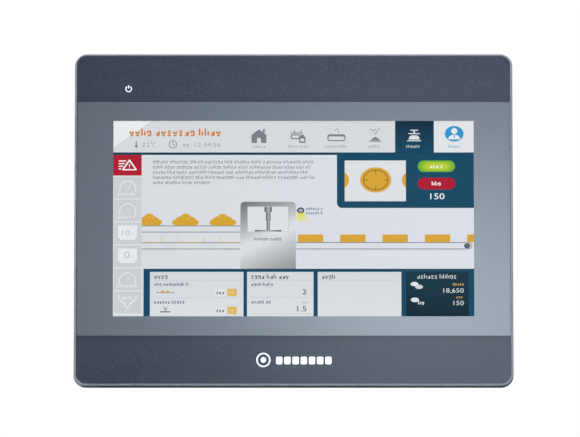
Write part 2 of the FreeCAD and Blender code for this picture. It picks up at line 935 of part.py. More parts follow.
def cable_socket(name, x_span, z_span):
    """Flat cable socket on the front face of the board, with its mouth downwards."""
    front = "board_front - socket_height"
    shell = block(f"{name}_shell", x_span, (front, "board_front"), z_span)
    level = f"{front} + 0.5"
    mouth = block(
        f"{name}_mouth",
        (f"{x_span[0]} + 0.8", f"{x_span[1]} - 0.8"),
        (level, f"{level} + 0.5"),
        (f"{z_span[0]} - 1", f"{z_span[1]} - 1.5"))
    return cut(name, shell, [mouth])


def cable_sockets():
    """Sockets of the touch sheet's tail and of the display cable."""
    return group("cable_sockets", [
        cable_socket(
            "touch_socket", ("tail_left - 2", "tail_right + 2"),
            ("tail_end - 2", "tail_end + 3")),
        cable_socket(
            "display_socket", ("cable_left - 2", "cable_right + 2"),
            ("cable_end - 2", "cable_end + 3")),
    ])


def display_cable():
    """Flat cable from the display module through the plate to the board."""
    x_span = ("cable_left", "cable_right")
    start = BACK_FRONT + " + back_plate_thickness"
    level = "board_front - socket_height + 0.6"
    base = block(
        "cable_base", x_span, from_to(start, "tail_thickness"),
        ("cable_start", "cable_z + tail_thickness"))
    rise = block(
        "cable_rise", x_span, (start, level + " + tail_thickness"),
        from_to("cable_z", "tail_thickness"))
    end = block(
        "cable_end_part", x_span, from_to(level, "tail_thickness"), ("cable_z", "cable_end"))
    return fuse("display_cable", [base, rise, end])


def power_light_pipe():
    """Clear rod that carries the lamp's light to the back of the bezel's skin."""
    start = FRONT + " + lamp_skin"
    end = "board_front - lamp_led_height - part_gap"
    return rod(
        "power_light_pipe", "y", "lamp_x", start, "lamp_z", f"({end}) - ({start})",
        "lamp_radius")


def power_led():
    return block(
        "power_led", around("lamp_x", "3.2"),
        ("board_front - lamp_led_height", "board_front"),
        around("lamp_z", "1.6"))


# ---- screw terminal ----

def pole_x(pole):
    return f"power_x + {pole} * pole_pitch"


def terminal_header():
    """Fixed half of the supply connector, open downwards."""
    y_span = from_to(BOARD_REAR, "header_depth")
    shell = block(
        "header_shell", around("power_x", "header_width"), y_span,
        ("header_mouth", "header_back"))
    hollow = block(
        "header_hollow",
        around("power_x", "header_width - 2 * header_wall"),
        (f"{y_span[0]} + header_wall", f"{y_span[1]} - header_wall"),
        ("header_mouth - 1", "header_back - 2"))
    tools = [hollow]
    for pole in POLES:
        tools.append(block(
            f"header_pin_hole_{pole + 2}",
            around(pole_x(pole), "2 * pin_half + 0.1"),
            around("port_axis", "2 * pin_half + 0.1"),
            ("header_back - 3", "header_back + 1")))
    return cut("terminal_header", shell, tools)


def terminal_header_pins():
    """Three angled pins from the board into the header."""
    made = []
    for pole in POLES:
        wide = around(pole_x(pole), "2 * pin_half")
        along = block(
            f"header_pin_along_{pole + 2}", wide, around("port_axis", "2 * pin_half"),
            ("header_mouth + 1.5", "header_back + 3"))
        down = block(
            f"header_pin_down_{pole + 2}", wide, (BOARD_REAR, "port_axis + pin_half"),
            ("header_back + 2", "header_back + 3"))
        made.append(fuse(f"header_pin_{pole + 2}", [along, down]))
    return group("terminal_header_pins", made)


def terminal_plug():
    """Housing of the pluggable half: nose, clamp chambers, wire entries, screw wells."""
    grip = block(
        "plug_grip", around("power_x", "header_width"), ("plug_front", "plug_rear"),
        ("plug_low", "plug_high"))
    nose = block(
        "plug_nose",
        around("power_x", "header_width - 2 * header_wall - 2 * plug_gap"),
        (f"{BOARD_REAR} + header_wall + plug_gap",
         f"{BOARD_REAR} + header_depth - header_wall - plug_gap"),
        ("plug_high - 1", "nose_high"))
    whole = fuse("plug_whole", [grip, nose])
    tools = []
    for pole in POLES:
        x = pole_x(pole)
        tools.append(block(
            f"plug_chamber_{pole + 2}", around(x, "2 * chamber_half"),
            ("chamber_front", "chamber_rear"), ("chamber_low", "chamber_high")))
        tools.append(block(
            f"plug_entry_{pole + 2}", around(x, "2 * entry_half"),
            ("entry_front", "entry_rear"), ("plug_low - 1", "chamber_low + 1")))
        tools.append(block(
            f"plug_socket_{pole + 2}", around(x, "2 * contact_half + 1.2"),
            ("contact_front - 0.7", "contact_front + contact_thickness + 0.9"),
            ("chamber_high - 1", "nose_high + 1")))
        tools.append(rod(
            f"plug_throat_{pole + 2}", "y", x, "chamber_rear - 1", "clamp_axis",
            "ledge + 2", "clamp_hole_radius + 0.1"))
        tools.append(rod(
            f"plug_well_{pole + 2}", "y", x, "chamber_rear + ledge", "clamp_axis",
            "plug_rear", "screw_well_radius"))
    return cut("terminal_plug", whole, tools)


def plug_contacts():
    """Contact bar of each pole with the spring fork that grips the header pin."""
    made = []
    for pole in POLES:
        x = pole_x(pole)
        bar = block(
            f"contact_bar_{pole + 2}", around(x, "2 * contact_half"),
            from_to("contact_front", "contact_thickness"),
            ("chamber_low + 1.2", "chamber_high + 0.4"))
        root = block(
            f"contact_root_{pole + 2}", around(x, "2 * contact_half + 1"),
            from_to("contact_front", "contact_thickness"),
            ("chamber_high + 0.2", "header_mouth + 0.6"))
        tines = []
        for side in (-1, 1):
            tines.append(block(
                f"contact_tine_{pole + 2}_{side + 1}",
                around(f"{x} + {side} * (pin_half + 0.45)", "0.3"),
                from_to("contact_front", "contact_thickness"),
                ("header_mouth + 0.4", "nose_high")))
        made.append(fuse(f"plug_contact_{pole + 2}", [bar, root] + tines))
    return group("plug_contacts", made)


def terminal_screw(pole):
    """Captive clamp screw with a slotted head."""
    name = f"terminal_screw_{pole + 2}"
    x = pole_x(pole)
    seat = "chamber_rear + ledge + 0.1"
    tip = "contact_front + contact_thickness + 0.1"
    head = rod(
        f"{name}_head", "y", x, seat, "clamp_axis", "screw_head_height", "screw_head_radius")
    shank = rod(
        f"{name}_shank", "y", x, tip, "clamp_axis", f"{seat} - ({tip}) + 0.2",
        "clamp_screw_radius")
    whole = fuse(f"{name}_whole", [head, shank])
    slot = block(
        f"{name}_slot", around(x, "0.6"),
        (f"{seat} + screw_head_height - 0.8", f"{seat} + screw_head_height + 1"),
        around("clamp_axis", "3 * screw_head_radius"))
    return cut(name, whole, [slot])


def terminal_clamp(pole):
    """Rising cage that lifts the wire against the contact bar."""
    name = f"terminal_clamp_{pole + 2}"
    x = pole_x(pole)
    outer = "clamp_bottom + clamp_inner + clamp_top"
    cage = block(
        f"{name}_cage", around(x, "2 * clamp_half_width"), from_to("clamp_front", outer),
        around("clamp_axis", "2 * clamp_half_length"))
    wire = block(
        f"{name}_wire", around(x, "2 * contact_half + 0.6"),
        from_to("clamp_front + clamp_bottom", "clamp_inner"),
        around("clamp_axis", "2 * clamp_half_length + 2"))
    thread = rod(
        f"{name}_thread", "y", x, "clamp_front + clamp_bottom + 1", "clamp_axis",
        outer, "clamp_hole_radius")
    return cut(name, cage, [wire, thread])


# ---- switches ----

def slider_x(way):
    return f"dip_x + ({way} - 2.5) * dip_pitch"


def dip_body():
    """Body of the four-way switch, its slots facing down."""
    shell = block(
        "dip_shell", around("dip_x", "dip_width"), from_to(BOARD_REAR, "dip_depth"),
        ("dip_face", "dip_back"))
    slots = []
    for way in range(1, 5):
        slots.append(block(
            f"dip_slot_{way}", around(slider_x(way), "2 * dip_slot_half"),
            ("dip_slot_front", "dip_slot_rear"),
            ("dip_face - 1", "dip_face + dip_slot_depth")))
    return cut("dip_body", shell, slots)


def dip_slider(way):
    return block(
        f"dip_slider_{way}", around(slider_x(way), "2 * slider_half"),
        from_to("dip_slot_front + slider_gap", "slider_length"),
        ("slider_tip", "dip_face + dip_slot_depth - slider_gap"))


def reset_body():
    """Body of the reset key, its hole facing down."""
    shell = block(
        "reset_shell", around("reset_x", "reset_width"), from_to(BOARD_REAR, "reset_depth"),
        ("reset_face", "reset_back"))
    hole = rod(
        "reset_hole", "z", "reset_x", f"{BOARD_REAR} + reset_depth / 2", "reset_face - 1",
        "reset_hole_depth + 1", "reset_hole_radius")
    return cut("reset_body", shell, [hole])


def reset_button():
    return rod(
        "reset_button", "z", "reset_x", f"{BOARD_REAR} + reset_depth / 2", "button_tip",
        "button_root - button_tip", "button_radius")


# ---- ports ----

def d_shape(name, x, half_width, height, corner, low, high):
    """D-shaped prism with rounded corners, its long side towards the front."""
    wedge = doc.addObject("Part::Wedge", f"{name}_wedge")
    for side, value in (
            ("Xmin", f"{x} - ({half_width})"),
            ("Xmax", f"{x} + ({half_width})"),
            ("X2min", f"{x} - ({half_width}) + shell_slope"),
            ("X2max", f"{x} + ({half_width}) - shell_slope"),
            ("Ymin", f"port_axis - ({height}) / 2"),
            ("Ymax", f"port_axis + ({height}) / 2"),
            ("Zmin", low),
            ("Z2min", low),
            ("Zmax", high),
            ("Z2max", high)):
        link(wedge, side, value)
    doc.recompute()
    fillet = doc.addObject("Part::Fillet", name)
    fillet.Base = wedge
    radius = number(corner)
    upright = []
    for index, edge in enumerate(wedge.Shape.Edges, start=1):
        if abs(edge.tangentAt(edge.FirstParameter).z) > 0.99:
            upright.append((index, radius, radius))
    fillet.Edges = upright
    return fillet


def contact_places(x):
    """Five contacts in the long row and four in the short one."""
    long_row = [(f"{x} + {i - 2} * contact_pitch", "port_axis - row_spacing / 2") for i in range(5)]
    short_row = [(f"{x} + {i - 1.5} * contact_pitch", "port_axis + row_spacing / 2") for i in range(4)]
    return long_row + short_row


def port_shell(name, x, half_width, height):
    """Steel flange with a D-shaped collar."""
    bottom = "bay_ceiling - flange_thickness"
    plate = block(
        f"{name}_flange", around(x, "flange_width"), around("port_axis", "flange_depth"),
        (bottom, "bay_ceiling"))
    collar = d_shape(
        f"{name}_collar", x, half_width, height, "shell_corner",
        f"{bottom} - shell_reach", "bay_ceiling - 0.1")
    solid = fuse(f"{name}_solid", [plate, collar])
    hollow = d_shape(
        f"{name}_hollow", x, f"{half_width} - shell_wall", f"{height} - 2 * shell_wall",
        "shell_corner - shell_wall", f"{bottom} - shell_reach - 1", "bay_ceiling + 1")
    return cut(name, solid, [hollow])


def port_insert(name, x, half_width, height, mouth):
    """Insulator: block behind the ceiling and a D-shaped core inside the collar."""
    rear = block(
        f"{name}_rear", around(x, "2 * insert_half_width"), around("port_axis", "insert_depth"),
        ("bay_ceiling", "insert_back"))
    core = d_shape(
        f"{name}_core", x, f"{half_width} - shell_wall - 0.15",
        f"{height} - 2 * shell_wall - 0.3", "shell_corner - shell_wall - 0.1",
        mouth, "bay_ceiling + 0.5")
    whole = fuse(f"{name}_whole", [rear, core])
    holes = []
    for index, (a, b) in enumerate(contact_places(x), start=1):
        holes.append(rod(f"{name}_hole_{index}", "z", a, b, f"{mouth} - 1", "8", "socket_radius"))
    return cut(name, whole, holes)


def serial_a_shell():
    return port_shell("serial_a_shell", "serial_a_x", "female_half_width", "female_height")


def serial_a_insert():
    mouth = "bay_ceiling - flange_thickness - shell_reach + 0.3"
    return port_insert(
        "serial_a_insert", "serial_a_x", "female_half_width", "female_height", mouth)


def serial_b_shell():
    return port_shell("serial_b_shell", "serial_b_x", "male_half_width", "male_height")


def serial_b_insert():
    mouth = "bay_ceiling - male_floor"
    return port_insert("serial_b_insert", "serial_b_x", "male_half_width", "male_height", mouth)


def serial_b_pins():
    """Nine pins of the male port."""
    made = []
    tip = "bay_ceiling - flange_thickness - shell_reach + 0.7"
    for index, (x, y) in enumerate(contact_places("serial_b_x"), start=1):
        length = f"bay_ceiling + 5 - ({tip})"
        made.append(rod(f"serial_b_pin_{index}", "z", x, y, tip, length, "pin_radius"))
    return group("serial_b_pins", made)


def jack_screws():
    """Hexagonal jack screws beside both serial ports."""
    made = []
    bottom = "bay_ceiling - flange_thickness - jack_screw_length"
    for port in ("serial_a_x", "serial_b_x"):
        for side in ("-", "+"):
            index = len(made) + 1
            x = f"{port} {side} jack_screw_x"
            pillar = hex_rod(
                f"jack_pillar_{index}", "z", x, "port_axis", bottom, "jack_screw_length",
                "jack_screw_radius")
            thread = rod(
                f"jack_thread_{index}", "z", x, "port_axis", f"{bottom} - 1",
                "jack_screw_length", "jack_thread_radius")
            made.append(cut(f"jack_screw_{index}", pillar, [thread]))
    return group("jack_screws", made)


def lan_shell():
    """Steel shield of the network jack."""
    y_span = from_to(BOARD_REAR, "lan_depth")
    outer = block(
        "lan_outer", around("lan_x", "lan_width"), y_span, ("port_face", "lan_back"))
    inner = block(
        "lan_inner", around("lan_x", "lan_width - 2 * lan_wall"),
        (f"{y_span[0]} + lan_wall", f"{y_span[1]} - lan_wall"),
        ("port_face - 1", "lan_back - lan_wall"))
    return cut("lan_shell", outer, [inner])


def lan_insert():
    """Plastic core of the network jack with the plug cavity and latch notch."""
    core = block(
        "lan_core", around("lan_x", "lan_width - 2 * lan_wall - 0.1"),
        (f"{BOARD_REAR} + lan_wall + 0.05", f"{BOARD_REAR} + lan_depth - lan_wall - 0.05"),
        ("port_face + 0.4", "lan_back - lan_wall - 0.1"))
    cavity = block(
        "lan_cavity", around("lan_x", "lan_cavity_width"),
        ("lan_cavity_front", "lan_cavity_rear"), ("port_face - 1", "lan_cavity_end"))
    notch = block(
        "lan_notch", around("lan_x", "lan_notch_width"),
        ("lan_cavity_rear - 1", "lan_notch_rear"), ("port_face - 1", "lan_cavity_end"))
    return cut("lan_insert", core, [cavity, notch])


def lan_contacts():
    """Eight spring contacts along the front side of the cavity."""
    made = []
    for index in range(8):
        made.append(block(
            f"lan_contact_{index + 1}",
            around(f"lan_x + ({index - 3.5}) * lan_contact_pitch", "2 * lan_contact_half"),
            from_to("lan_cavity_front + 0.6", "0.3"),
            ("port_face + 2.5", "lan_cavity_end")))
    return group("lan_contacts", made)


def usb_shell():
    """Steel shell of the storage port."""
    y_span = from_to(BOARD_REAR, "usb_depth")
    outer = block(
        "usb_outer", around("usb_x", "usb_width"), y_span, ("port_face", "usb_back"))
    inner = block(
        "usb_inner", around("usb_x", "usb_width - 2 * usb_wall"),
        (f"{y_span[0]} + usb_wall", f"{y_span[1]} - usb_wall"),
        ("port_face - 1", "usb_back - usb_wall"))
    return cut("usb_shell", outer, [inner])


def usb_tongue():
    """Contact tongue and rear block of the storage port."""
    rear = block(
        "usb_rear", around("usb_x", "usb_width - 2 * usb_wall - 0.1"),
        (f"{BOARD_REAR} + usb_wall + 0.05", f"{BOARD_REAR} + usb_depth - usb_wall - 0.05"),
        ("usb_back - 4", "usb_back - usb_wall - 0.1"))
    tongue = block(
        "usb_blade", around("usb_x", "2 * usb_tongue_half"),
        ("usb_tongue_front", "usb_tongue_rear"), ("port_face + 0.8", "usb_back - 3"))
    return fuse("usb_tongue", [rear, tongue])


# ---- rear ----

def rear_cover():
    """Stepped cover with a connector bay, vents, clamp slots and screw posts."""
    body = new_body("rear_cover")
    low_part = front_sketch(body, "cover_low_part", "cover_step")
    rounded_rectangle(
        low_part, around("0", "rim_width"), around("0", "rim_height"), "rim_corner")
    low_pad = pad(body, low_part, "cover_step - cover_front")
    round_edges(body, low_pad, "cover_edge", at_depth("cover_step"))
    high_part = front_sketch(body, "cover_high_part", "cover_rear")
    rounded_rectangle(
        high_part, around("0", "cover_rear_width"), around("0", "cover_rear_height"),
        "cover_corner")
    high_pad = pad(body, high_part, "cover_rear - cover_step + 1")
    round_edges(body, high_pad, "cover_edge", at_depth("cover_rear"))
    wide = front_sketch(body, "cover_wide_hollow", "cover_front")
    rounded_rectangle(
        wide,
        around("0", "rim_width - 2 * cover_side_wall"),
        around("0", "rim_height - 2 * cover_side_wall"),
        "rim_corner - 1")
    pocket(body, wide, "cover_step - cover_wall - cover_front")
    deep = front_sketch(body, "cover_deep_hollow", "cover_front")
    rounded_rectangle(
        deep,
        around("0", "cover_rear_width - 2 * cover_wall"),
        around("0", "cover_rear_height - 2 * cover_wall"),
        "cover_corner - cover_wall")
    pocket(body, deep, "cover_rear - cover_wall - cover_front")
    tongue = front_sketch(body, "cover_tongue", "tongue_root")
    ring(
        tongue, "0",
        ("tongue_outer_width", "tongue_outer_height"),
        ("tongue_outer_width - 2 * tongue_wall", "tongue_outer_height - 2 * tongue_wall"),
        "rim_corner - rim_wall", "1.5")
    pad(body, tongue, "tongue_root - tongue_front")
    bay_top = "bay_ceiling + bay_wall"
    bay_x = ("-bay_half_width - bay_wall", "bay_half_width + bay_wall")
    shallow = front_sketch(body, "cover_bay_shallow", "cover_step")
    rectangle(shallow, bay_x, ("-rim_height / 2 + 2", bay_top))
    pad(body, shallow, "cover_step - bay_front + bay_wall")
    inner = front_sketch(body, "cover_bay_deep", "cover_rear - 1")
    rectangle(inner, bay_x, ("-cover_rear_height / 2 + 1", bay_top))
    pad(body, inner, "cover_rear - cover_step + 1")
    bay = front_sketch(body, "cover_bay", "bay_front")
    rectangle(
        bay, ("-bay_half_width", "bay_half_width"), ("-rim_height / 2 - 2", "bay_ceiling"))
    pocket(body, bay, "cover_rear")
    posts = front_sketch(body, "cover_posts", "cover_rear - 1")
    circles(posts, COVER_SCREWS, "post_radius")
    pad(body, posts, "cover_rear - 1 - post_front")
    wells = front_sketch(body, "cover_wells", "well_floor")
    circles(wells, COVER_SCREWS, "well_radius")
    pocket(body, wells, "cover_rear")
    holes = front_sketch(body, "cover_screw_holes", "post_front - 1")
    circles(holes, COVER_SCREWS, "clear_hole_radius")
    pocket(body, holes, "well_floor")
    ports = sketch_on(body, "cover_ports", "XY_Plane", "bay_ceiling + bay_wall + 0.5")
    for x, width, y_span in (
            ("power_x", "header_width + 0.8", (f"{BOARD_REAR} - 0.3", "27.5")),
            ("reset_x", "reset_width + 0.6", (f"{BOARD_REAR} - 0.3", "21.4")),
            ("dip_x", "dip_width + 0.6", (f"{BOARD_REAR} - 0.3", "21.6")),
            ("serial_a_x", "2 * insert_half_width + 0.6", around("port_axis", "insert_depth + 0.6")),
            ("serial_b_x", "2 * insert_half_width + 0.6", around("port_axis", "insert_depth + 0.6")),
            ("usb_x", "usb_width + 0.6", (f"{BOARD_REAR} - 0.3", "21")),
            ("lan_x", "lan_width + 0.6", (f"{BOARD_REAR} - 0.3", "28.8"))):
        rectangle(ports, around(x, width), y_span)
    pocket(body, ports, "bay_wall + 1")
    vent = front_sketch(body, "cover_vent", "cover_rear - cover_wall - 0.5")
    rounded_rectangle(
        vent, from_to("vent_left", "vent_width"), from_to("vent_low", "vent_height"), "1.4")
    made = pocket(body, vent, "cover_wall + 1")
    repeat(body, made, "H_Axis", "vent_pitch * (vent_count - 1)", "vent_count")
    side = sketch_on(body, "cover_top_vent", "XY_Plane", "cover_rear_height / 2 + 0.5")
    span = "side_vent_pitch * (side_vent_count - 1)"
    rectangle(
        side, around(f"-({span}) / 2", "side_vent_length"),
        from_to("side_vent_y", "side_vent_width"))
    made = pocket(body, side, "cover_wall + 1")
    repeat(body, made, "H_Axis", span, "side_vent_count")
    slot_y = from_to("slot_y", "slot_width")
    for name, level, x in (
            ("top", "rim_height / 2 + 0.5", "top_slot_x"),
            ("bottom", "-rim_height / 2 + cover_side_wall + 0.9", "bottom_slot_x")):
        slots = sketch_on(body, f"cover_{name}_slots", "XY_Plane", level)
        for place in (f"-{x}", x):
            rectangle(slots, around(place, "slot_length"), slot_y)
        pocket(body, slots, "cover_side_wall + 1.4")
    for name, level in (
            ("left", "-rim_width / 2 + cover_side_wall + 0.9"),
            ("right", "rim_width / 2 + 0.5")):
        slots = sketch_on(body, f"cover_{name}_slots", "YZ_Plane", level)
        for place in ("-side_slot_z", "side_slot_z"):
            rectangle(slots, slot_y, around(place, "slot_length"))
        pocket(body, slots, "cover_side_wall + 1.4")
    label = front_sketch(body, "cover_label_recess", "cover_rear - label_recess")
    rounded_rectangle(
        label, ("label_left - 0.5", "label_right + 0.5"), ("label_low - 0.5", "label_high + 0.5"),
        "1.5")
    pocket(body, label, "label_recess + 1")
    return body


def rating_label():
    """Blank plate in the recess of the cover."""
    return block(
        "rating_label", ("label_left", "label_right"),
        from_to("cover_rear - label_recess", "label_thickness"),
        ("label_low", "label_high"))


def plate_screws():
    seat = "plate_front + plate_thickness"
    return screws(
        "plate_screws", PLATE_SCREWS, seat, "small_head_radius", "small_head_height", "6.5")


def board_screws():
    return screws(
        "board_screws", BOARD_SCREWS, BOARD_REAR, "small_head_radius", "small_head_height",
        "6")


def cover_screws():
    return screws(
        "cover_screws", COVER_SCREWS, "well_floor", "cover_head_radius", "cover_head_height",
        "12")


pieces = [
    front_bezel(),
    overlay_film(),
    panel_gasket(),
    touch_panel(),
    touch_tail(),
    dust_seal(),
    lcd_frame(),
    lcd_cell(),
    light_guide(),
    backlight_strip(),
    lcd_back_plate(),
    mounting_plate(),
    plate_screws(),
    main_board(),
    board_standoffs(),
    board_screws(),
    processor(),
    memory_chips(),
    thermal_pad(),
    heat_sink(),
    inductors(),
    capacitors(),
    battery_holder(),
    coin_cell(),
    buzzer(),
    cable_sockets(),
    display_cable(),
    power_light_pipe(),
    power_led(),
    terminal_header(),
    terminal_header_pins(),
    terminal_plug(),
    plug_contacts(),
    dip_body(),
    reset_body(),
    reset_button(),
    serial_a_shell(),
    serial_a_insert(),
    serial_b_shell(),
    serial_b_insert(),
    serial_b_pins(),
    jack_screws(),
    lan_shell(),
    lan_insert(),
    lan_contacts(),
    usb_shell(),
    usb_tongue(),
    rear_cover(),
    rating_label(),
    cover_screws(),
]
pieces += [terminal_screw(pole) for pole in POLES]
pieces += [terminal_clamp(pole) for pole in POLES]
pieces += [dip_slider(way) for way in range(1, 5)]

doc.recompute()
for item in doc.Objects:
    if "Invalid" in item.State or "Error" in item.State:
        raise RuntimeError(f"{item.Label} did not recompute: {item.State}")
for piece in pieces:
    if piece.Shape.isNull() or not piece.Shape.isValid():
        raise RuntimeError(f"{piece.Label} has no valid shape")

os.makedirs("parts", exist_ok=True)
for piece in pieces:
    piece.Shape.exportStep(f"parts/{piece.Label}.step")
print(len(pieces), "nodes")
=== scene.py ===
import json
import math
import random

import bmesh
import bpy
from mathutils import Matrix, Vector


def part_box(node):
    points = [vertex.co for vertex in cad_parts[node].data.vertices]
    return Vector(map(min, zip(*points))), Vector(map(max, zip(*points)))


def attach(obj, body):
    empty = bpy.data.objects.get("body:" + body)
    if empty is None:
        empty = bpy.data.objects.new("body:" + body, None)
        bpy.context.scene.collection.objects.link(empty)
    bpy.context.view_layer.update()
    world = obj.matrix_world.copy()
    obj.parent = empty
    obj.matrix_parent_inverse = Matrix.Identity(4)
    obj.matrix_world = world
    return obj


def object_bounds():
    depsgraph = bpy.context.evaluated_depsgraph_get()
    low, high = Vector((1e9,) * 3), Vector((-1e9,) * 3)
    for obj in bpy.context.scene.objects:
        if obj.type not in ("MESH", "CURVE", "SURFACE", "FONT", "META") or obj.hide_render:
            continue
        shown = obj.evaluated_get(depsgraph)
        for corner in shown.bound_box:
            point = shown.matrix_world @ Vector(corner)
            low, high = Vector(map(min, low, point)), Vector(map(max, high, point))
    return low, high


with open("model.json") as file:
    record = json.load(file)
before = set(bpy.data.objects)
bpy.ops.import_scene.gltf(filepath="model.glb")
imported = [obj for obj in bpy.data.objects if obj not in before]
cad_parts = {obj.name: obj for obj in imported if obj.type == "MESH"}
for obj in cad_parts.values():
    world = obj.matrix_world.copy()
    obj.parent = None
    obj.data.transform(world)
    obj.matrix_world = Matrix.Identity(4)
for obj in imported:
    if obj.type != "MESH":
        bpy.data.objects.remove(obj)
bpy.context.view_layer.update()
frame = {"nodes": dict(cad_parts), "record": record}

NODES = frame["nodes"]
MM = 0.001

# ---- measures taken from the frame ----
BEZEL_LOW, BEZEL_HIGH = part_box("front_bezel")
FILM_LOW, FILM_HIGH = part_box("overlay_film")
CELL_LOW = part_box("lcd_cell")[0]
TOUCH_LOW, TOUCH_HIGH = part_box("touch_panel")
FRONT = BEZEL_LOW.y
SCREEN_WIDTH = 222.8
SCREEN_HEIGHT = 125.4
SCREEN_CENTRE = Vector((0.0, 0.0, (TOUCH_LOW.z + TOUCH_HIGH.z) / 2))
PRINT_LIFT = 0.004 * MM   # how far the front's ink stands off the bezel

# The lit picture lies behind the touch sheet, so it is set this many millimetres
# higher to fill the window when seen from a little below.
SIGHT_SHIFT = 0.64


# ---- small helpers ----

def linear(red, green, blue):
    """Linear colour from the usual 0 to 255 screen values."""
    def decode(value):
        share = value / 255
        return share / 12.92 if share <= 0.04045 else ((share + 0.055) / 1.055) ** 2.4
    return (decode(red), decode(green), decode(blue))


def scaled(colour, factor):
    return tuple(min(1.0, part * factor) for part in colour[:3])


def mixed(first, second, share):
    return tuple(a + (b - a) * share for a, b in zip(first, second))


def put(name, data):
    """New object in the scene for a mesh, curve, light or camera."""
    thing = bpy.data.objects.new(name, data)
    bpy.context.scene.collection.objects.link(thing)
    return thing


# ---- material helpers ----

class Nodes:
    """Short names for the node tree of one material."""

    def __init__(self, name):
        self.material = bpy.data.materials.new(name)
        self.material.use_nodes = True
        self.tree = self.material.node_tree
        self.tree.nodes.clear()
        self.output = self.add("ShaderNodeOutputMaterial")
        self.where = self.add("ShaderNodeTexCoord").outputs["Object"]

    def add(self, kind, **inputs):
        node = self.tree.nodes.new(kind)
        for key, value in inputs.items():
            node.inputs[key.replace("_", " ")].default_value = value
        return node

    def join(self, source, target):
        self.tree.links.new(source, target)

    def feed(self, value, socket):
        """Set a socket to a number or colour, or join another node's output to it."""
        if isinstance(value, (int, float)):
            socket.default_value = value
        elif isinstance(value, tuple):
            socket.default_value = (*value[:3], 1.0)
        else:
            self.join(value, socket)

    def stretched(self, scale):
        node = self.add("ShaderNodeMapping", Scale=scale)
        self.join(self.where, node.inputs["Vector"])
        return node.outputs["Vector"]

    def noise(self, scale, detail=2.0, vector=None, rough=0.5):
        node = self.add("ShaderNodeTexNoise", Scale=scale, Detail=detail, Roughness=rough)
        self.join(vector or self.where, node.inputs["Vector"])
        return node.outputs["Fac"]

    def remap(self, value, low, high, start, end):
        limits = {"From_Min": low, "From_Max": high, "To_Min": start, "To_Max": end}
        node = self.add("ShaderNodeMapRange", **limits)
        self.join(value, node.inputs["Value"])
        return node.outputs["Result"]

    def spread(self, noise, start, end):
        """Stretch the middle of a noise, where nearly all of it lies, from start to end."""
        return self.remap(noise, 0.3, 0.7, start, end)

    def blend(self, share, first, second):
        node = self.add("ShaderNodeMix")
        node.data_type = "RGBA"
        self.join(share, node.inputs["Factor"])
        for socket, colour in (("A", first), ("B", second)):
            self.feed(colour, [s for s in node.inputs if s.name == socket and s.type == "RGBA"][0])
        return [s for s in node.outputs if s.type == "RGBA"][0]

    def maths(self, operation, first, second):
        node = self.add("ShaderNodeMath")
        node.operation = operation
        for socket, value in zip(node.inputs, (first, second)):
            self.feed(value, socket)
        return node.outputs[0]

    def bump(self, height, distance, strength=1.0):
        node = self.add("ShaderNodeBump", Strength=strength, Distance=distance)
        self.join(height, node.inputs["Height"])
        return node.outputs["Normal"]

    def axis(self, letter):
        node = self.add("ShaderNodeSeparateXYZ")
        self.join(self.where, node.inputs[0])
        return node.outputs[letter]

    def surface(self, colour, roughness, normal=None, **fixed):
        shader = self.add("ShaderNodeBsdfPrincipled")
        self.feed(colour, shader.inputs["Base Color"])
        self.feed(roughness, shader.inputs["Roughness"])
        if normal is not None:
            self.join(normal, shader.inputs["Normal"])
        for key, value in fixed.items():
            shader.inputs[key.replace("_", " ")].default_value = value
        self.join(shader.outputs[0], self.output.inputs["Surface"])
        return shader

    def glow(self, shader, colour, strength):
        self.feed(colour, shader.inputs["Emission Color"])
        self.feed(strength, shader.inputs["Emission Strength"])

    def either(self, share, first, second):
        """Surface made of two shaders: all first where share is 0, all second where it is 1."""
        mix = self.add("ShaderNodeMixShader")
        for socket, source in zip(mix.inputs, (share, first.outputs[0], second.outputs[0])):
            self.join(source, socket)
        self.join(mix.outputs[0], self.output.inputs["Surface"])


def plastic(name, colour, roughness=0.5, grain=1500.0, depth=0.02, spread=0.12):
    """Moulded plastic: fine spark grain, soft colour drift and uneven gloss."""
    n = Nodes(name)
    fine = n.noise(grain, 3.0)
    drift = n.noise(18.0, 2.0)
    pattern = n.maths("ADD", n.maths("MULTIPLY", fine, 0.7), n.maths("MULTIPLY", drift, 0.3))
    tone = n.remap(pattern, 0.35, 0.65, 0.0, 1.0)
    shade = n.blend(tone, scaled(colour, 1 - spread), scaled(colour, 1 + spread))
    gloss = n.spread(drift, roughness - 0.05, roughness + 0.06)
    n.surface(shade, gloss, n.bump(fine, depth * MM, 0.6))
    return n.material


def metal(name, colour, roughness=0.32, grain=(300.0, 300.0, 2500.0), depth=0.01, tarnish=0.8):
    """Plated or brushed metal: fine drawn lines, clouded gloss and slightly dull patches."""
    n = Nodes(name)
    lines = n.noise(1.0, 3.0, n.stretched(grain))
    cloud = n.noise(120.0, 3.0)
    shade = n.blend(n.remap(cloud, 0.35, 0.7, 0.0, 1.0), colour, scaled(colour, tarnish))
    gloss = n.spread(lines, roughness - 0.08, roughness + 0.12)
    n.surface(shade, gloss, n.bump(lines, depth * MM, 0.15), Metallic=1.0)
    return n.material


DARK_COAT = (0.0308, 0.0343, 0.0515)
# Light grey of the rounded edge: the edge's own plastic, made light enough to carry a painted highlight
# of the light the rim catches.
EDGE_HIGHLIGHT_GREY = (0.32, 0.325, 0.37)
REAR_BLACK = (0.03, 0.031, 0.034)
FILM_BLUE = (0.108, 0.119, 0.147)
SHADE_WIDTH = 5 * MM      # over this width next to the film the coat loses its light grains and turns darker: painted shade from the film's edge
COAT_ENDS = 0.01 * MM     # depth behind the front where the coat gives way to the light grey edge, whose tone is partly a painted highlight
EDGE_STARTS = 0.05 * MM
EDGE_ENDS = 1.5 * MM      # depth where the light grey, partly painted-highlight edge gives way to the black behind
REAR_STARTS = 1.9 * MM


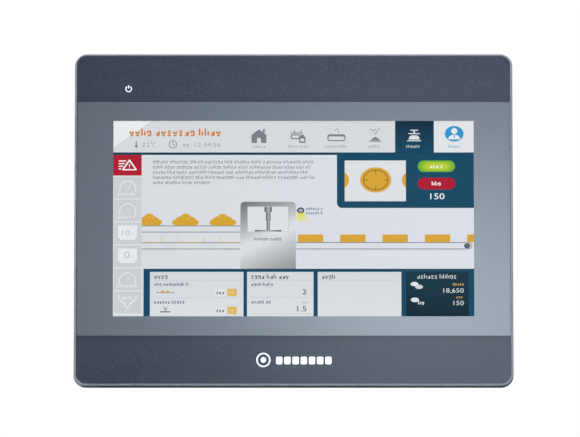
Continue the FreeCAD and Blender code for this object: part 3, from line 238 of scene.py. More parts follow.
def bezel_material():
    """Dark grained coating on the flat front, darker next to the film as painted shade, a rounded edge
    painted light grey to carry part of its highlight, and a black back.
    """
    n = Nodes("bezel_plastic")
    sparkle = n.noise(1300.0, 2.0, rough=0.7)
    cloud = n.noise(260.0, 2.0)
    depth = n.maths("SUBTRACT", n.axis("Y"), FRONT)
    up = n.axis("Z")
    coating = n.blend(n.spread(sparkle, 0.0, 1.0), DARK_COAT, scaled(DARK_COAT, 1.75))
    # Painted shade: within SHADE_WIDTH above and below the film the coat is set to an even darker tone,
    # as if shaded by the film's edge.
    above_film = n.remap(up, FILM_HIGH.z, FILM_HIGH.z + SHADE_WIDTH, 0.0, 1.0)
    below_film = n.remap(up, FILM_LOW.z - SHADE_WIDTH, FILM_LOW.z, 1.0, 0.0)
    clear_of_film_shadow = n.maths("MAXIMUM", above_film, below_film)
    coating = n.blend(clear_of_film_shadow, scaled(DARK_COAT, 1.1), coating)
    # Painted highlight: the rounded edge gets a light grey with a soft cloud, in place of the light it
    # catches.
    edge_with_highlight = n.blend(n.spread(cloud, 0.0, 1.0), EDGE_HIGHLIGHT_GREY, scaled(EDGE_HIGHLIGHT_GREY, 0.86))
    edge = n.remap(depth, COAT_ENDS, EDGE_STARTS, 0.0, 1.0)
    behind = n.remap(depth, EDGE_ENDS, REAR_STARTS, 0.0, 1.0)
    shade = n.blend(edge, coating, edge_with_highlight)
    shade = n.blend(behind, shade, REAR_BLACK)
    gloss = n.spread(sparkle, 0.38, 0.48)
    n.surface(shade, gloss, n.bump(sparkle, 0.015 * MM, 0.5), Specular_IOR_Level=0.2)
    return n.material


def film_material():
    """Blue-grey printed polyester film with a fine satin grain."""
    n = Nodes("film_print")
    sparkle = n.noise(1300.0, 2.0, rough=0.7)
    shade = n.blend(
        n.spread(sparkle, 0.0, 1.0), scaled(FILM_BLUE, 0.88), scaled(FILM_BLUE, 1.14))
    gloss = n.spread(sparkle, 0.34, 0.46)
    n.surface(shade, gloss, n.bump(sparkle, 0.012 * MM, 0.5), Specular_IOR_Level=0.55)
    return n.material


def glass_material():
    """Thin clear touch sheet: mostly see-through, with a faint sheen."""
    n = Nodes("touch_clear")
    clear = n.add("ShaderNodeBsdfTransparent")
    shine = n.add("ShaderNodeBsdfGlossy", Roughness=0.42)
    fine = n.noise(900.0, 2.0)
    n.join(n.bump(fine, 0.004 * MM, 0.4), shine.inputs["Normal"])
    fresnel = n.add("ShaderNodeFresnel", IOR=1.04)
    n.either(fresnel.outputs[0], clear, shine)
    return n.material


def display_material():
    """Lit picture: its colours are painted on the mesh, with the faint grain of the panel."""
    n = Nodes("display_lit")
    paint = n.add("ShaderNodeAttribute")
    paint.attribute_name = "paint"
    grain = n.spread(n.noise(900.0, 2.0), 0.965, 1.0)
    dimmed = n.blend(grain, (0.0, 0.0, 0.0), paint.outputs["Color"])
    n.glow(n.surface((0.004, 0.004, 0.005), 0.5, Specular_IOR_Level=0.0), dimmed, 1.0)
    return n.material


def printed_white():
    """White ink with the film's grain showing through, given a faint painted glow."""
    n = Nodes("ink_white")
    grain = n.noise(1400.0, 2.0)
    shade = n.blend(n.spread(grain, 0.0, 1.0), (0.72, 0.73, 0.76), (0.95, 0.95, 0.97))
    # Painted glow: the ink emits a little white light of its own, though it is no lamp.
    n.glow(n.surface(shade, 0.45, n.bump(grain, 0.01 * MM, 0.4)), (1.0, 1.0, 1.0), 0.25)
    return n.material


def board_material():
    """Green solder mask with a faint net of tracks."""
    n = Nodes("circuit_green")
    tracks = n.add(
        "ShaderNodeTexBrick", Scale=160.0, Mortar_Size=0.03, Color1=(0.012, 0.1, 0.045, 1),
        Color2=(0.02, 0.14, 0.06, 1), Mortar=(0.035, 0.22, 0.09, 1))
    n.join(n.where, tracks.inputs["Vector"])
    cloud = n.noise(60.0, 2.0)
    shade = n.blend(n.spread(cloud, 0.0, 0.5), tracks.outputs["Color"], (0.01, 0.09, 0.04))
    n.surface(shade, n.spread(cloud, 0.25, 0.36), n.bump(tracks.outputs["Fac"], 0.03 * MM))
    return n.material


def clear_acrylic():
    """Hazy see-through moulding of the light guide and the light pipe."""
    n = Nodes("clear_acrylic")
    haze = n.noise(200.0, 2.0)
    n.surface(
        n.blend(haze, (0.85, 0.88, 0.9), (0.95, 0.96, 0.97)), n.spread(haze, 0.1, 0.2),
        Transmission_Weight=0.7, IOR=1.49)
    return n.material


MATERIALS = {
    "bezel": bezel_material(),
    "film": film_material(),
    "touch_glass": glass_material(),
    "gasket_rubber": plastic("gasket_black", (0.012, 0.012, 0.013), 0.62, 700.0, 0.03),
    "flat_cable": plastic("cable_amber", (0.42, 0.2, 0.04), 0.3, 500.0, 0.01),
    "foam": plastic("foam_dark", (0.03, 0.03, 0.033), 0.9, 900.0, 0.12, 0.3),
    "steel_sheet": metal("steel_zinc", (0.56, 0.57, 0.58), 0.35, (40.0, 900.0, 900.0)),
    "display": display_material(),
    "acrylic": clear_acrylic(),
    "lamp_white": plastic("lamp_body", (0.8, 0.79, 0.72), 0.35, 900.0, 0.01),
    "zinc_screw": metal("screw_zinc", (0.66, 0.67, 0.69), 0.34, (900.0, 900.0, 900.0), tarnish=0.9),
    "brass": metal("brass_turned", (0.74, 0.55, 0.26), 0.3, (1200.0, 200.0, 1200.0)),
    "circuit_board": board_material(),
    "chip_black": plastic("chip_body", (0.014, 0.014, 0.015), 0.55, 1600.0, 0.02, 0.25),
    "aluminium_black": metal("heat_black", (0.05, 0.05, 0.055), 0.42, (60.0, 900.0, 900.0)),
    "capacitor_can": metal("can_aluminium", (0.72, 0.72, 0.73), 0.25, (900.0, 60.0, 900.0)),
    "terminal_green": plastic("terminal_polyamide", (0.03, 0.24, 0.07), 0.42, 900.0, 0.02),
    "contact_metal": metal("contact_tin", (0.66, 0.66, 0.64), 0.3, (900.0, 90.0, 900.0)),
    "gold_contact": metal("contact_gold", (0.83, 0.62, 0.25), 0.22, (600.0, 600.0, 90.0)),
    "switch_blue": plastic("switch_case", (0.02, 0.075, 0.3), 0.35, 1100.0, 0.012),
    "slider_white": plastic("actuator_white", (0.78, 0.78, 0.74), 0.38, 1200.0, 0.01, 0.05),
    "port_steel": metal("port_nickel", (0.68, 0.68, 0.68), 0.34, (500.0, 500.0, 120.0), tarnish=0.92),
    "port_black": plastic("port_insulator", (0.012, 0.012, 0.014), 0.45, 1200.0, 0.012, 0.2),
    "cover_plastic": plastic("cover_moulding", (0.046, 0.048, 0.053), 0.5, 850.0, 0.05, 0.16),
    "label": plastic("label_silver", (0.56, 0.57, 0.59), 0.36, 1600.0, 0.006, 0.05),
    "ink_white": printed_white(),
    "ink_dark": plastic("label_ink", (0.02, 0.021, 0.024), 0.5, 1400.0, 0.004, 0.2),
    "ink_grey": plastic("cover_ink", (0.52, 0.53, 0.55), 0.5, 1400.0, 0.004, 0.1),
    "lamp_green": plastic("lamp_lens_green", (0.08, 0.42, 0.1), 0.22, 900.0, 0.004, 0.1),
    "lamp_amber": plastic("lamp_lens_amber", (0.75, 0.3, 0.03), 0.22, 900.0, 0.004, 0.1),
}


def paint_nodes():
    """Give every CAD node the material of its slot."""
    for row in frame["record"]["subparts"]:
        mesh = NODES[row["node"]].data
        mesh.materials.clear()
        mesh.materials.append(MATERIALS[row["material_slot"]])


# ---- mesh helpers ----

def add_piece(name, mesh, material):
    """Put a mesh on the housing as a piece of its own."""
    piece = put(name, mesh)
    mesh.materials.append(MATERIALS[material])
    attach(piece, "housing")


def digit_faces(text):
    """Faces of plain upright figures, one unit tall, from the built-in font."""
    curve = bpy.data.curves.new("figures", "FONT")
    curve.body = text
    curve.resolution_u = 3
    carrier = put("figures", curve)
    bpy.context.view_layer.update()
    view = bpy.context.evaluated_depsgraph_get()
    mesh = bpy.data.meshes.new_from_object(carrier.evaluated_get(view))
    tall = max(v.co.y for v in mesh.vertices)
    low = min(v.co.x for v in mesh.vertices)
    faces = [
        [((mesh.vertices[i].co.x - low) / tall, mesh.vertices[i].co.y / tall)
         for i in face.vertices]
        for face in mesh.polygons]
    bpy.data.objects.remove(carrier)
    bpy.data.curves.remove(curve)
    bpy.data.meshes.remove(mesh)
    return faces


class Sheet:
    """Flat coloured shapes laid on each other in front of a plane, in millimetres.

    x runs right and y runs down from the top left corner, as seen from the
    front (facing -1) or from behind (facing 1). Each shape goes one thin layer
    in front of whatever it covers."""

    STEP = 0.016

    def __init__(self, left, top, level, facing=-1):
        self.left, self.top, self.level, self.facing = left, top, level, facing
        self.taken = []
        self.points, self.faces, self.colours = [], [], []

    def layer_for(self, x0, y0, x1, y1):
        under = [n for a, b, c, d, n in self.taken if a < x1 and c > x0 and b < y1 and d > y0]
        layer = max(under, default=-1) + 1
        self.taken.append((x0, y0, x1, y1, layer))
        return layer

    def face(self, outline, colours, layer):
        depth = self.level + self.facing * layer * self.STEP * MM
        first = len(self.points)
        for x, y in outline:
            self.points.append((self.left - self.facing * x * MM, depth, self.top - y * MM))
        self.faces.append(list(range(first, first + len(outline))))
        self.colours.extend(colours)

    def washed(self, outlines, tone):
        """Shapes on one layer whose colour comes from a function of the place."""
        xs = [x for outline in outlines for x, y in outline]
        ys = [y for outline in outlines for x, y in outline]
        layer = self.layer_for(min(xs), min(ys), max(xs), max(ys))
        for outline in outlines:
            self.face(outline, [tone(x, y) for x, y in outline], layer)

    def group(self, outlines, colour):
        """Shapes of one colour that share a layer."""
        self.washed(outlines, lambda x, y: colour)

    def shape(self, outline, colour):
        self.group([outline], colour)

    def cornered(self, outline, colours):
        """Shape with a colour for each of its corners."""
        tones = dict(zip(outline, colours))
        self.washed([outline], lambda x, y: tones[x, y])

    def box(self, x0, y0, x1, y1, colour):
        self.faded(x0, y0, x1, y1, colour, colour, colour, colour)

    def grid(self, x0, y0, x1, y1, across, down):
        """Rectangles that fill a box."""
        xs = [x0 + (x1 - x0) * i / across for i in range(across + 1)]
        ys = [y0 + (y1 - y0) * i / down for i in range(down + 1)]
        return [
            [(a, c), (a, d), (b, d), (b, c)]
            for a, b in zip(xs, xs[1:]) for c, d in zip(ys, ys[1:])]

    def faded(self, x0, y0, x1, y1, *corners):
        """Box with a colour for its top left, bottom left, bottom right and top right."""
        self.cornered([(x0, y0), (x0, y1), (x1, y1), (x1, y0)], corners)

    def rounded(self, x0, y0, x1, y1, radius, colour, corners=(1, 1, 1, 1)):
        """Rectangle with rounded corners: top left, bottom left, bottom right, top right."""
        self.shape(self.rounded_outline(x0, y0, x1, y1, radius, corners), colour)

    def rounded_outline(self, x0, y0, x1, y1, radius, corners=(1, 1, 1, 1)):
        outline = []
        spots = ((x0, y0, 1, 1, 90), (x0, y1, 1, -1, 180), (x1, y1, -1, -1, 270), (x1, y0, -1, 1, 0))
        for keep, (x, y, dx, dy, start) in zip(corners, spots):
            if not keep:
                outline.append((x, y))
                continue
            for step in range(7):
                angle = math.radians(start + step * 15)
                cx, cy = x + dx * radius, y + dy * radius
                outline.append((cx + radius * math.cos(angle), cy - radius * math.sin(angle)))
        return outline

    def pill(self, x0, y0, x1, y1, rim, heart):
        """Round-ended button whose colour runs from its rim to its middle."""
        middle_x, middle_y = (x0 + x1) / 2, (y0 + y1) / 2
        rings = []
        for share in (1.0, 0.78, 0.5):
            outline = self.rounded_outline(x0, y0, x1, y1, (y1 - y0) / 2 - 0.01)
            rings.append([
                (middle_x + (x - middle_x) * share, middle_y + (y - middle_y) * share)
                for x, y in outline])
        tones = (rim, mixed(rim, heart, 0.4), heart)
        layer = self.layer_for(x0, y0, x1, y1)
        for outer, inner, rim_tone, inner_tone in zip(rings, rings[1:], tones, tones[1:]):
            for i in range(len(outer)):
                j = (i + 1) % len(outer)
                self.face([outer[i], outer[j], inner[j], inner[i]],
                          [rim_tone, rim_tone, inner_tone, inner_tone], layer)
        self.face(rings[-1], [heart] * len(rings[-1]), layer)

    def arc(self, x, y, rx, ry, start, end, steps):
        turns = [math.radians(start + (end - start) * step / steps) for step in range(steps + 1)]
        return [(x + rx * math.cos(turn), y - ry * math.sin(turn)) for turn in turns]

    def disc(self, x, y, rx, ry, colour, steps=32):
        self.shape(self.arc(x, y, rx, ry, 0, 360, steps)[:-1], colour)

    def dots(self, x, y, places, rx, ry, colour):
        for dx, dy in places:
            self.disc(x + dx, y + dy, rx, ry, colour, 8)

    def part_disc(self, x, y, rx, ry, colour, start, end, steps=16):
        self.shape(self.arc(x, y, rx, ry, start, end, steps), colour)

    def bars(self, points, width):
        """Quads along a run of points."""
        out = []
        for (x0, y0), (x1, y1) in zip(points, points[1:]):
            length = math.hypot(x1 - x0, y1 - y0)
            nx, ny = -(y1 - y0) / length * width / 2, (x1 - x0) / length * width / 2
            out.append([(x0 + nx, y0 + ny), (x0 - nx, y0 - ny), (x1 - nx, y1 - ny), (x1 + nx, y1 + ny)])
        return out

    def run(self, points, width, colour):
        self.group(self.bars(points, width), colour)

    def closed(self, points, width, colour):
        self.run([*points, points[0]], width, colour)

    def frame(self, x0, y0, x1, y1, width, colour):
        self.closed([(x0, y0), (x1, y0), (x1, y1), (x0, y1)], width, colour)

    def line(self, x0, y0, x1, y1, width, colour):
        self.run([(x0, y0), (x1, y1)], width, colour)

    def loop(self, x, y, rx, ry, width, colour, start=0, end=360, steps=32):
        """Ring or arc of a line width; rx and ry reach its outer edge."""
        half = width / 2
        self.run(self.arc(x, y, rx - half, ry - half, start, end, steps), width, colour)

    def marks(self, x0, x1, y, height, colour, seed, slant=0.0, weight=0.15):
        """A line of meaningless small strokes between x0 and x1 that stands in for print."""
        draw = random.Random(seed)
        low = height * 0.5
        body = height * 0.74
        wide = body * 0.74
        thick = height * weight
        quads = []
        x = x0
        left_in_word = draw.randint(3, 8)
        while x + wide < x1 + 0.05:
            kind = draw.randrange(5)
            left, right, foot = x + thick / 2, x + wide - thick / 2, y + low - thick / 2
            head, middle = y + low - body + thick / 2, y + low - body / 2
            top = y + low - height
            if kind == 0:
                runs = [[(left, at), (right, at)] for at in (head, middle, foot)]
            elif kind == 1:
                runs = [[(left, top), (left, foot)], [(right, head), (right, foot)]]
            elif kind == 2:
                runs = [[(left, middle), (left, head), (right, head), (right, foot), (left, foot)]]
            elif kind == 3:
                runs = [[(right, head), (right, foot)], [(left, middle), (right, middle)],
                        [(left, foot), (right, foot)]]
            else:
                runs = [[(left, head), (left, middle), (right, middle), (right, head)],
                        [(left, foot), (right, foot)]]
            for run in runs:
                lean = [(px + slant * (y + low - py), py) for px, py in run]
                quads += self.bars(lean, thick)
            x += wide + height * 0.17
            left_in_word -= 1
            if left_in_word == 0:
                x += height * 0.34
                left_in_word = draw.randint(3, 8)
        self.group(quads, colour)

    def figures(self, x, y, height, text, colour, from_right=False):
        """Plain wide figures; x is their left end, or their right one, and y their foot."""
        faces = digit_faces(text)
        wide = height * 1.25
        if from_right:
            x -= max(px for face in faces for px, py in face) * wide
        self.group([[(x + px * wide, y - py * height) for px, py in face] for face in faces], colour)

    def mesh(self, name):
        mesh = bpy.data.meshes.new(name)
        mesh.from_pydata(self.points, [], self.faces)
        paint = mesh.color_attributes.new("paint", "FLOAT_COLOR", "CORNER")
        for corner, colour in zip(paint.data, self.colours):
            corner.color = (*colour, 1.0)
        work = bmesh.new()
        work.from_mesh(mesh)
        work.normal_update()
        bmesh.ops.reverse_faces(work, faces=[f for f in work.faces if f.normal.y * self.facing < 0])
        work.to_mesh(mesh)
        work.free()
        return mesh

    def piece(self, name, slot, material):
        add_piece(name, self.mesh(name), material)


# ---- the lit picture: places and sizes in millimetres from the screen's top left corner ----

PALE = linear(217, 221, 225)
PALE_BLUE = linear(220, 225, 232)
HEADER = linear(216, 219, 222)
HEADER_SIDE = linear(226, 229, 232)
HEADER_LIGHT = linear(234, 237, 239)
WHITE = linear(248, 250, 251)
PANE = linear(223, 226, 229)
ORANGE = linear(206, 122, 28)
GREY_INK = linear(124, 128, 134)
LABEL_INK = linear(158, 163, 169)
TEXT_INK = linear(84, 89, 97)
NAVY_TOP = linear(14, 44, 62)
TEAL = linear(20, 72, 98)
TEAL_INK = linear(38, 84, 108)
BLUE = linear(46, 150, 206)
GOLD = linear(215, 165, 55)
GOLD_LIGHT = linear(226, 184, 92)
GOLD_LINE = linear(118, 96, 36)
RED = linear(176, 28, 50)
CRIMSON = linear(172, 26, 52)
GREEN = linear(82, 172, 58)
LIME = linear(188, 206, 52)
STRIP = linear(226, 229, 231)
TILE = linear(203, 208, 211)
TILE_INK = linear(232, 235, 237)
CARD = linear(213, 217, 221)
CARD_END = linear(221, 225, 229)
RULE = linear(190, 195, 200)
BELT = linear(134, 140, 146)
DARK_INK = linear(44, 48, 54)
PANEL_TOP = linear(18, 62, 84)
ROLLER = linear(92, 96, 101)
SENSOR_RIM = linear(66, 69, 74)
SENSOR_EYE = linear(176, 180, 184)
BEAM = (linear(226, 222, 50), linear(226, 228, 120), PALE, linear(224, 222, 80))
WINDOW_RIM = linear(196, 200, 204)
RAM_DARK = linear(66, 69, 73)
RAM_BRIGHT = linear(176, 179, 183)
PEBBLE = linear(206, 212, 216)
COUNTS = (linear(22, 56, 72), linear(12, 38, 50), linear(14, 44, 56), linear(20, 52, 66))

# Edges that several parts of the picture share, in millimetres from the screen's top left.
LEFT, TOP, RIGHT, LOW = -0.7, -0.3, 223.5, 127.0
HEADER_FOOT = 20.4
COLUMN_SIDE = 17.6
PRESS_LEFT, PRESS_RIGHT, PRESS_TOP, PRESS_FOOT = 78.6, 112.8, 52.0, 95.2


def picture_header(s):
    """Title, temperature and clock, then six signs with a caption each."""
    s.box(LEFT, TOP, RIGHT, HEADER_FOOT, HEADER)
    s.box(198.2, TOP, RIGHT, HEADER_FOOT, HEADER_SIDE)
    # Pale triangle across the top left corner: a painted highlight of glare on the screen.
    s.shape([(LEFT, TOP), (LEFT, 17.6), (24.0, TOP)], HEADER_LIGHT)
    s.marks(9.9, 68.4, 7.4, 5.0, ORANGE, 3, weight=0.2)
    s.run([(14.1, 12.9), (14.1, 16.2)], 0.7, GREY_INK)
    s.disc(14.1, 16.4, 0.9, 0.9, GREY_INK, 12)
    s.figures(17.6, 16.7, 2.8, "22", LABEL_INK)
    s.loop(23.4, 14.1, 0.6, 0.6, 0.25, LABEL_INK, steps=10)
    s.loop(25.2, 15.3, 1.2, 1.45, 0.35, LABEL_INK, 40, 320, 12)
    s.loop(36.8, 15.1, 2.5, 2.6, 0.5, GREY_INK)
    s.run([(36.8, 13.4), (36.8, 15.3), (38.2, 15.5)], 0.4, GREY_INK)
    s.marks(42.9, 47.6, 15.6, 2.9, LABEL_INK, 5)
    s.figures(50.2, 16.7, 2.8, "12:34:56", LABEL_INK)
    picture_house(s, 90.0, 9.6)
    picture_vessels(s, 114.0, 9.6)
    picture_trough(s, 137.9, 9.6)
    picture_pile(s, 162.0, 9.6)
    for left, right, seed in (
            (86.0, 94.2, 21), (108.0, 121.0, 22), (130.6, 145.0, 23), (157.6, 166.2, 24)):
        s.marks(left, right, 16.3, 2.1, LABEL_INK, seed, weight=0.17)
    s.faded(174.2, TOP, 198.2, 20.6, NAVY_TOP, TEAL, TEAL, NAVY_TOP)
    picture_press_icon(s, 186.0, 9.6)
    s.marks(180.9, 191.0, 16.3, 2.0, CARD_END, 25)
    user = 210.8
    s.disc(user, 8.3, 5.8, 5.0, BLUE, 40)
    s.disc(user, 6.5, 1.9, 1.9, HEADER_LIGHT, 20)
    s.part_disc(user, 11.9, 3.7, 3.1, HEADER_LIGHT, 0, 180)
    s.shape([(user - 0.7, 8.9), (user, 11.4), (user + 0.7, 8.9), (user, 9.5)], BLUE)
    s.marks(207.2, 214.2, 16.3, 2.0, BLUE, 26)


def picture_house(s, x, y):
    s.shape([(x - 4.6, y - 0.6), (x, y - 4.2), (x + 4.6, y - 0.6), (x + 4.6, y + 4.6),
             (x + 1.2, y + 4.6), (x + 1.2, y + 1.9), (x + 0.6, y + 1.3), (x - 0.6, y + 1.3),
             (x - 1.2, y + 1.9), (x - 1.2, y + 4.6), (x - 4.6, y + 4.6)], GREY_INK)
    s.box(x + 2.4, y - 4.4, x + 3.6, y - 2.0, GREY_INK)


def picture_vessels(s, x, y):
    s.rounded(x - 4.4, y - 1.0, x + 1.6, y + 2.2, 1.2, GREY_INK)
    s.rounded(x - 3.6, y - 0.3, x + 0.8, y + 1.4, 0.7, HEADER)
    s.line(x - 4.6, y - 1.8, x + 3.2, y - 1.8, 0.6, GREY_INK)
    s.line(x - 2.6, y - 3.8, x - 1.6, y - 1.8, 0.5, GREY_INK)
    s.line(x + 2.4, y - 3.8, x + 1.4, y - 1.8, 0.5, GREY_INK)
    s.rounded(x + 0.8, y + 0.4, x + 4.8, y + 4.6, 0.8, GREY_INK)
    s.rounded(x + 1.6, y + 1.8, x + 4.0, y + 3.6, 0.4, HEADER)
    s.box(x + 1.8, y - 0.8, x + 3.8, y + 0.4, GREY_INK)


def picture_trough(s, x, y):
    s.rounded(x - 5.6, y - 1.0, x + 5.6, y + 3.4, 1.4, GREY_INK)
    s.rounded(x - 4.9, y + 0.4, x + 4.9, y + 2.7, 1.0, HEADER)
    s.dots(x, y, ((-0.4, -3.6), (0.7, -4.3), (1.4, -2.6)), 0.45, 0.45, GREY_INK)


def picture_pile(s, x, y):
    s.line(x - 3.8, y + 3.6, x + 3.8, y + 3.6, 0.5, GREY_INK)
    s.shape([(x - 3.2, y + 3.1), (x + 3.2, y + 3.1), (x + 1.2, y + 1.2), (x, y + 0.6),
             (x - 1.2, y + 1.2)], GREY_INK)
    grains = ((-2.6, -4.0), (-1.4, -3.0), (-0.3, -3.8), (1.0, -2.8), (2.2, -4.2), (0.2, -1.6))
    s.dots(x, y, grains, 0.45, 0.55, GREY_INK)


def picture_press_icon(s, x, y):
    s.line(x - 2.4, y - 3.6, x + 2.4, y - 3.6, 0.6, CARD_END)
    s.line(x, y - 3.6, x, y - 1.6, 1.0, CARD_END)
    s.line(x - 3.6, y - 1.4, x + 3.6, y - 1.4, 0.6, CARD_END)
    s.shape([(x - 3.4, y + 2.4), (x + 3.4, y + 2.4), (x + 3.0, y + 0.6), (x + 1.6, y - 0.3),
             (x - 1.6, y - 0.3), (x - 3.0, y + 0.6)], CARD_END)
    s.line(x - 4.4, y + 3.2, x + 4.4, y + 3.2, 0.6, CARD_END)


def picture_camera_panel(s):
    """Dark panel with the round view, two push buttons and a count."""
    s.box(LEFT, 20.3, RIGHT, 21.9, PANEL_TOP)
    s.rounded(138.2, 20.8, RIGHT, 56.0, 3.2, TEAL, (0, 1, 0, 0))
    s.box(143.0, 25.5, 180.8, 51.7, PANE)
    s.part_disc(141.2, 38.2, 4.5, 5.2, GOLD, -67, 67, 14)
    s.part_disc(182.8, 38.2, 4.5, 5.2, GOLD, 117, 243, 14)
    s.disc(162.2, 38.0, 9.6, 8.1, GOLD, 48)
    s.loop(162.2, 38.0, 7.8, 6.6, 0.5, GOLD_LINE, steps=48)
    for dx, dy in ((1, 0), (-1, 0), (0, 1), (0, -1)):
        s.line(162.2 + dx * 4.6, 38.0 + dy * 3.8, 162.2 + dx * 7.6, 38.0 + dy * 6.4, 0.45, GOLD_LINE)
    s.pill(188.1, 25.5, 211.4, 32.9, GREEN, LIME)
    s.marks(195.6, 204.2, 29.1, 2.6, WHITE, 31, weight=0.2)
    s.rounded(188.1, 36.6, 211.4, 44.1, 3.7, CRIMSON)
    s.marks(196.8, 203.4, 40.3, 2.8, WHITE, 32, weight=0.2)
    s.figures(195.9, 50.4, 3.8, "150", WHITE)


DIAL_TILES = (0, 1, 4)
PERCENT_TILES = {2: (3.4, "10"), 3: (4.4, "0")}


def picture_left_column(s):
    """Alarm button and six pale tiles: three dials, two percentages and a funnel."""
    s.box(LEFT, 21.9, COLUMN_SIDE, LOW, STRIP)
    s.box(LEFT, 21.9, 17.5, 35.2, RED)
    s.shape([(10.2, 24.9), (9.7, 24.9), (5.4, 31.3), (5.7, 31.8), (14.2, 31.8), (14.5, 31.3)],
            WHITE)
    s.shape([(9.95, 26.0), (6.6, 31.1), (13.3, 31.1)], RED)
    s.line(9.95, 27.6, 9.95, 29.6, 0.5, WHITE)
    s.line(9.95, 30.1, 9.95, 30.6, 0.5, WHITE)
    for row, length in enumerate((4.6, 3.7, 2.7, 1.6)):
        s.line(3.3, 25.8 + row * 1.7, 3.3 + length, 25.8 + row * 1.7, 0.7, WHITE)
    for index in range(6):
        top = 35.8 + index * 14.75
        s.box(0.5, top, 17.5, top + 14.0, TILE)
        middle = top + 7.0
        if index in DIAL_TILES:
            s.loop(8.9, middle + 1.2, 5.3, 5.7, 0.6, TILE_INK, -20, 200, 22)
            s.line(8.9, middle + 0.6, 10.6, middle - 1.2, 0.4, TILE_INK)
            s.marks(2.6, 15.4, middle + 4.0, 2.5, TILE_INK, 44 + index, weight=0.18)
        elif index in PERCENT_TILES:
            s.rounded(3.0, top + 2.0, 14.8, top + 10.0, 0.4, TILE_INK)
            s.box(4.2, top + 10.0, 13.6, top + 11.2, TILE_INK)
            tall, text = PERCENT_TILES[index]
            s.figures(10.2, middle + 1.2, tall, text, scaled(TILE, 0.86), True)
            s.figures(11.0, middle + 1.2, 1.7, "%", scaled(TILE, 0.94))
        else:
            s.run([(3.6, top + 2.4), (3.6, top + 4.8), (7.6, top + 8.2), (7.6, top + 10.0),
                   (10.2, top + 10.0), (10.2, top + 8.2), (14.2, top + 4.8), (14.2, top + 2.4)],
                  0.7, TILE_INK)
            s.run([(5.4, top + 4.8), (7.0, top + 3.4), (8.2, top + 5.0), (9.8, top + 3.4),
                   (12.2, top + 4.8)], 0.5, TILE_INK)
            drops = ((8.9, 11.2), (7.8, 12.4), (10.0, 12.4), (6.8, 4.4), (10.8, 4.6))
            s.dots(0.0, top, drops, 0.45, 0.45, TILE_INK)


def picture_line_of_goods(s):
    """Belts, heaps, the press and the finished blocks."""
    for row in range(5):
        end = 61.0 if row == 4 else 124.2 - (row % 3) * 1.4
        s.marks(24.2, end, 26.2 + row * 3.32, 2.3, TEXT_INK, 50 + row, 0.2, 0.13)
    for y in (67.5, 71.5, 78.3, 82.3):
        s.line(COLUMN_SIDE, y, PRESS_LEFT, y, 0.6, BELT)
    for left, right in ((14.4, 30.3), (36.4, 52.9), (59.4, 75.9)):
        picture_heap(s, left, right, 60.4, 67.3)
    s.run([(COLUMN_SIDE, 78.0), (29.7, 78.0), (29.7, 73.7)], 0.35, GOLD_LIGHT)
    s.run([(40.0, 73.7), (40.0, 78.0), (55.7, 78.0), (55.7, 73.7)], 0.35, GOLD_LIGHT)
    s.run([(66.2, 73.7), (66.2, 78.0), (PRESS_LEFT, 78.0)], 0.35, GOLD_LIGHT)
    for y in (78.2, 82.3):
        s.line(PRESS_RIGHT, y, 218.6, y, 0.6, BELT)
    s.loop(218.7, 80.3, 3.1, 2.3, 0.5, BELT, -90, 90, 14)
    s.disc(218.6, 80.3, 2.0, 1.7, ROLLER, 16)
    for index in range(5):
        left = 114.0 + index * 26.15
        right = RIGHT if index == 4 else left + 15.7
        s.rounded(left, 73.0, right, 78.0, 0.7, GOLD)
    picture_press(s)
    s.line(PRESS_RIGHT, 57.6, 114.0, 57.6, 0.5, GREY_INK)
    s.disc(115.8, 57.6, 2.2, 2.0, SENSOR_RIM, 24)
    s.disc(115.8, 57.6, 1.3, 1.1, SENSOR_EYE, 20)
    s.cornered([(114.0, 59.2), (113.1, 63.9), (121.6, 66.0), (117.9, 59.2)], BEAM)
    s.marks(118.9, 129.4, 56.3, 2.0, TEAL_INK, 63, weight=0.18)
    s.marks(118.9, 129.4, 59.1, 2.0, TEAL_INK, 64, weight=0.18)


def picture_heap(s, left, right, top, base):
    """A mound of grains: lobes side by side, fewer in each row above, cut off at the column."""
    middle, width = (left + right) / 2, right - left
    tall = base - top
    # each row's height in the mound, its share of the width, and its lobes' size
    rows = ((0.0, 1.0, 0.30), (0.26, 0.74, 0.28), (0.5, 0.46, 0.24), (0.7, 0.2, 0.2))
    lobes = []
    for lift, share, size in rows:
        half = width * share / 2 - size * tall * 1.5
        count = max(2, round(6 * share))
        for step in range(count):
            x = middle - half + 2 * half * step / (count - 1)
            y = base - (lift + size) * tall
            lobes.append(s.arc(x, y, size * tall * 1.5, size * tall, 0, 360, 14)[:-1])
    lobes.append([
        (left + 1.2, base), (right - 1.2, base), (middle + 2.4, top + 2.0), (middle - 2.4, top + 2.0)])
    lobes = [[(max(x, COLUMN_SIDE), min(y, base)) for x, y in lobe] for lobe in lobes]
    s.group(lobes, GOLD)
    draw = random.Random(int(left * 10))
    for step in range(7):
        x = middle + draw.uniform(-0.16, 0.16) * width
        y = top + tall * draw.uniform(0.12, 0.42)
        if x > COLUMN_SIDE + 1.0:
            s.disc(x, y, 0.5, 0.4, GOLD_LIGHT, 8)


def press_tone(x, y):
    """Brushed metal: dark at the top left, a bright band across, darker again at the foot."""
    across = (x - PRESS_LEFT) / (PRESS_RIGHT - PRESS_LEFT)
    down = (y - PRESS_TOP) / (PRESS_FOOT - PRESS_TOP)
    along = 0.42 * across + 1.13 * down
    bright_at, end_at = 0.8, 1.55
    dark_start, bright, dark_end = 112, 228, 144
    if along < bright_at:
        grey = dark_start + (bright - dark_start) * max(0.0, along / bright_at) ** 1.1
    else:
        grey = bright - (bright - dark_end) * (along - bright_at) / (end_at - bright_at)
    return linear(grey, grey + 2, grey + 4)


